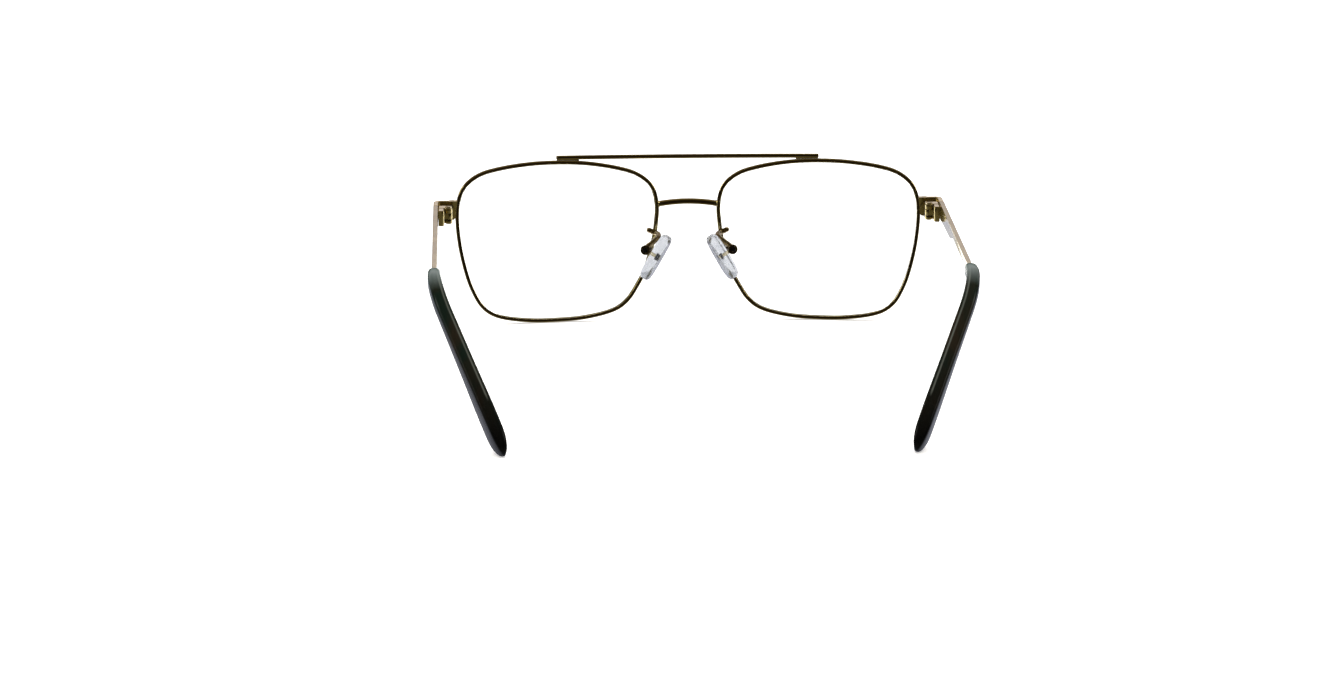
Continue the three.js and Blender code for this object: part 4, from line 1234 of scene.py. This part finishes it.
def set_world(scene):
    """A white room as the camera sees it, also through the lenses. In reflections the table is
    lit from the far side, with a bright wall above a dark horizon there, and all behind the
    camera is dark."""
    near_table, far_table = (0.11, 0.10, 0.06), (0.58, 0.60, 0.70)
    dark_horizon, dim_ceiling = (0.010, 0.006, 0.003), (0.11, 0.09, 0.05)
    bright_wall = (0.76, 0.70, 0.74)
    scene.world = bpy.data.worlds.new("studio")
    scene.world.use_nodes = True
    room = Finish(scene.world.node_tree)
    way = room.node("ShaderNodeTexCoord")
    ahead, height = room.part(way, "Y"), room.part(way, "Z")

    def fade(value, low, high):
        return room.ramp(value, low, high, "SMOOTHSTEP")

    wall = fade(ahead, -0.35, -0.8) * fade(height, 0.08, 0.24)
    table = room.mix(fade(ahead, 1.1, -0.95), near_table, far_table)
    upper = room.mix(fade(height, 0.12, 0.6), dark_horizon, dim_ceiling)
    around = room.mix(wall, room.mix(fade(height, -0.08, -0.24), upper, table), bright_wall)
    by_camera, through_lens = [
        room.node("ShaderNodeLightPath", output=f"Is {kind} Ray")
        for kind in ("Camera", "Transmission")
    ]
    shown = room.node("ShaderNodeMixShader", inputs={
        0: by_camera + through_lens,
        1: room.node("ShaderNodeBackground", inputs={"Color": around}),
        2: room.node("ShaderNodeBackground", inputs={"Color": (1, 1, 1, 1)}),
    })
    room.node("ShaderNodeOutputWorld", inputs={"Surface": shown})


class SpectacleStageSet(bpy.types.Operator):
    """Sets the floor, the lights and the camera."""

    bl_idname = "spectacles.stage"
    bl_label = "Stage"

    def lay_floor(self, context, stage):
        """Lays a round floor under the frame, which reflections don't show."""
        select_nothing()
        bpy.ops.mesh.primitive_circle_add(
            vertices=stage.floor_sides, radius=stage.floor_radius, fill_type="NGON"
        )
        floor = context.object
        floor.name = floor.data.name = "pale_floor"
        floor.data.materials.append(finish_for("floor"))
        floor.visible_glossy = False

    def hang_lights(self, context):
        """Hangs one large soft light over the frame and two weak ones beside it."""
        for name, place, size, power, tint in LIGHTS:
            bpy.ops.object.light_add(type="AREA", location=place)
            light = context.object
            light.name = light.data.name = name
            adjust(light.data, {"size": size, "energy": power, "color": tint})
            light.visible_glossy = name != "overhead_light"
            aim = LIGHTS_AIM - Vector(place)
            light.rotation_euler = aim.to_track_quat("-Z", "Y").to_euler()

    def set_camera(self, context, stage):
        """Sets the camera behind the wearer. The point that it was fitted to lies off the middle
        of the picture."""
        back = Vector((
            math.sin(stage.azimuth) * math.cos(stage.elevation),
            math.cos(stage.azimuth) * math.cos(stage.elevation),
            math.sin(stage.elevation),
        ))
        right = Vector((-math.cos(stage.azimuth), math.sin(stage.azimuth), 0))
        up = back.cross(right)
        pixels = stage.lens_length / SENSOR_WIDTH * PICTURE_WIDE
        across, down = FITTED_PIXEL
        place = (
            Vector((0, FRONT_PLACE[1], FITTED_HEIGHT)) * MILLIMETRE
            - right * (across - PICTURE_WIDE / 2) / pixels * stage.distance
            - up * (PICTURE_TALL / 2 - down) / pixels * stage.distance
            + back * stage.distance
        )
        leaned_right = right * math.cos(stage.roll) - up * math.sin(stage.roll)
        leaned_up = right * math.sin(stage.roll) + up * math.cos(stage.roll)
        bpy.ops.object.camera_add()
        camera = context.object
        camera.name = "camera"
        adjust(camera.data, {
            "lens": stage.lens_length, "sensor_width": SENSOR_WIDTH, "clip_start": 0.01,
        })
        turn = Matrix((leaned_right, leaned_up, back)).transposed()
        camera.matrix_world = Matrix.Translation(place) @ turn.to_4x4()
        context.scene.camera = camera

    def execute(self, context):
        scene = context.scene
        self.lay_floor(context, scene.spectacle_stage)
        self.hang_lights(context)
        set_world(scene)
        adjust(scene.view_settings, {"view_transform": "Standard", "look": "None"})
        self.set_camera(context, scene.spectacle_stage)
        return {"FINISHED"}


class SpectaclePanel(bpy.types.Panel):
    """Lists the pieces and their sizes in the 3D view's sidebar."""

    bl_idname = "VIEW3D_PT_spectacles"
    bl_label = "Spectacles"
    bl_space_type = "VIEW_3D"
    bl_region_type = "UI"
    bl_category = "Spectacles"

    def draw(self, context):
        layout = self.layout
        for operator in OPERATORS:
            layout.operator(operator.bl_idname)
        for group in PROPERTIES:
            settings = getattr(context.scene, group)
            box = layout.box()
            for key in settings.__annotations__:
                box.prop(settings, key)


PROPERTIES = {
    "spectacle_front": SpectacleFrontSizes,
    "spectacle_pads": SpectaclePadSizes,
    "spectacle_temples": SpectacleTempleSizes,
    "spectacle_colours": SpectacleColours,
    "spectacle_stage": SpectacleStage,
}

OPERATORS = (
    SpectacleRims,
    SpectacleLenses,
    SpectacleBridge,
    SpectacleBrowBar,
    SpectaclePadArms,
    SpectacleNosePads,
    SpectacleTemples,
    SpectacleTips,
    SpectacleFittings,
    SpectacleStageSet,
)

CLASSES = (*PROPERTIES.values(), *OPERATORS, SpectaclePanel)


def register():
    """Adds the classes and the settings."""
    for each in CLASSES:
        bpy.utils.register_class(each)
    for key, group in PROPERTIES.items():
        setattr(bpy.types.Scene, key, PointerProperty(type=group))


def unregister():
    """Takes the settings and the classes away again."""
    for key in PROPERTIES:
        delattr(bpy.types.Scene, key)
    for each in reversed(CLASSES):
        bpy.utils.unregister_class(each)


def main():
    """Registers the classes, then makes every piece and sets the stage."""
    register()
    bpy.ops.spectacles.rims()
    bpy.ops.spectacles.lenses()
    bpy.ops.spectacles.bridge()
    bpy.ops.spectacles.brow_bar()
    bpy.ops.spectacles.pad_arms()
    bpy.ops.spectacles.nose_pads()
    bpy.ops.spectacles.temples()
    bpy.ops.spectacles.tips()
    bpy.ops.spectacles.fittings()
    bpy.ops.spectacles.stage()


if __name__ == "__main__":
    main()
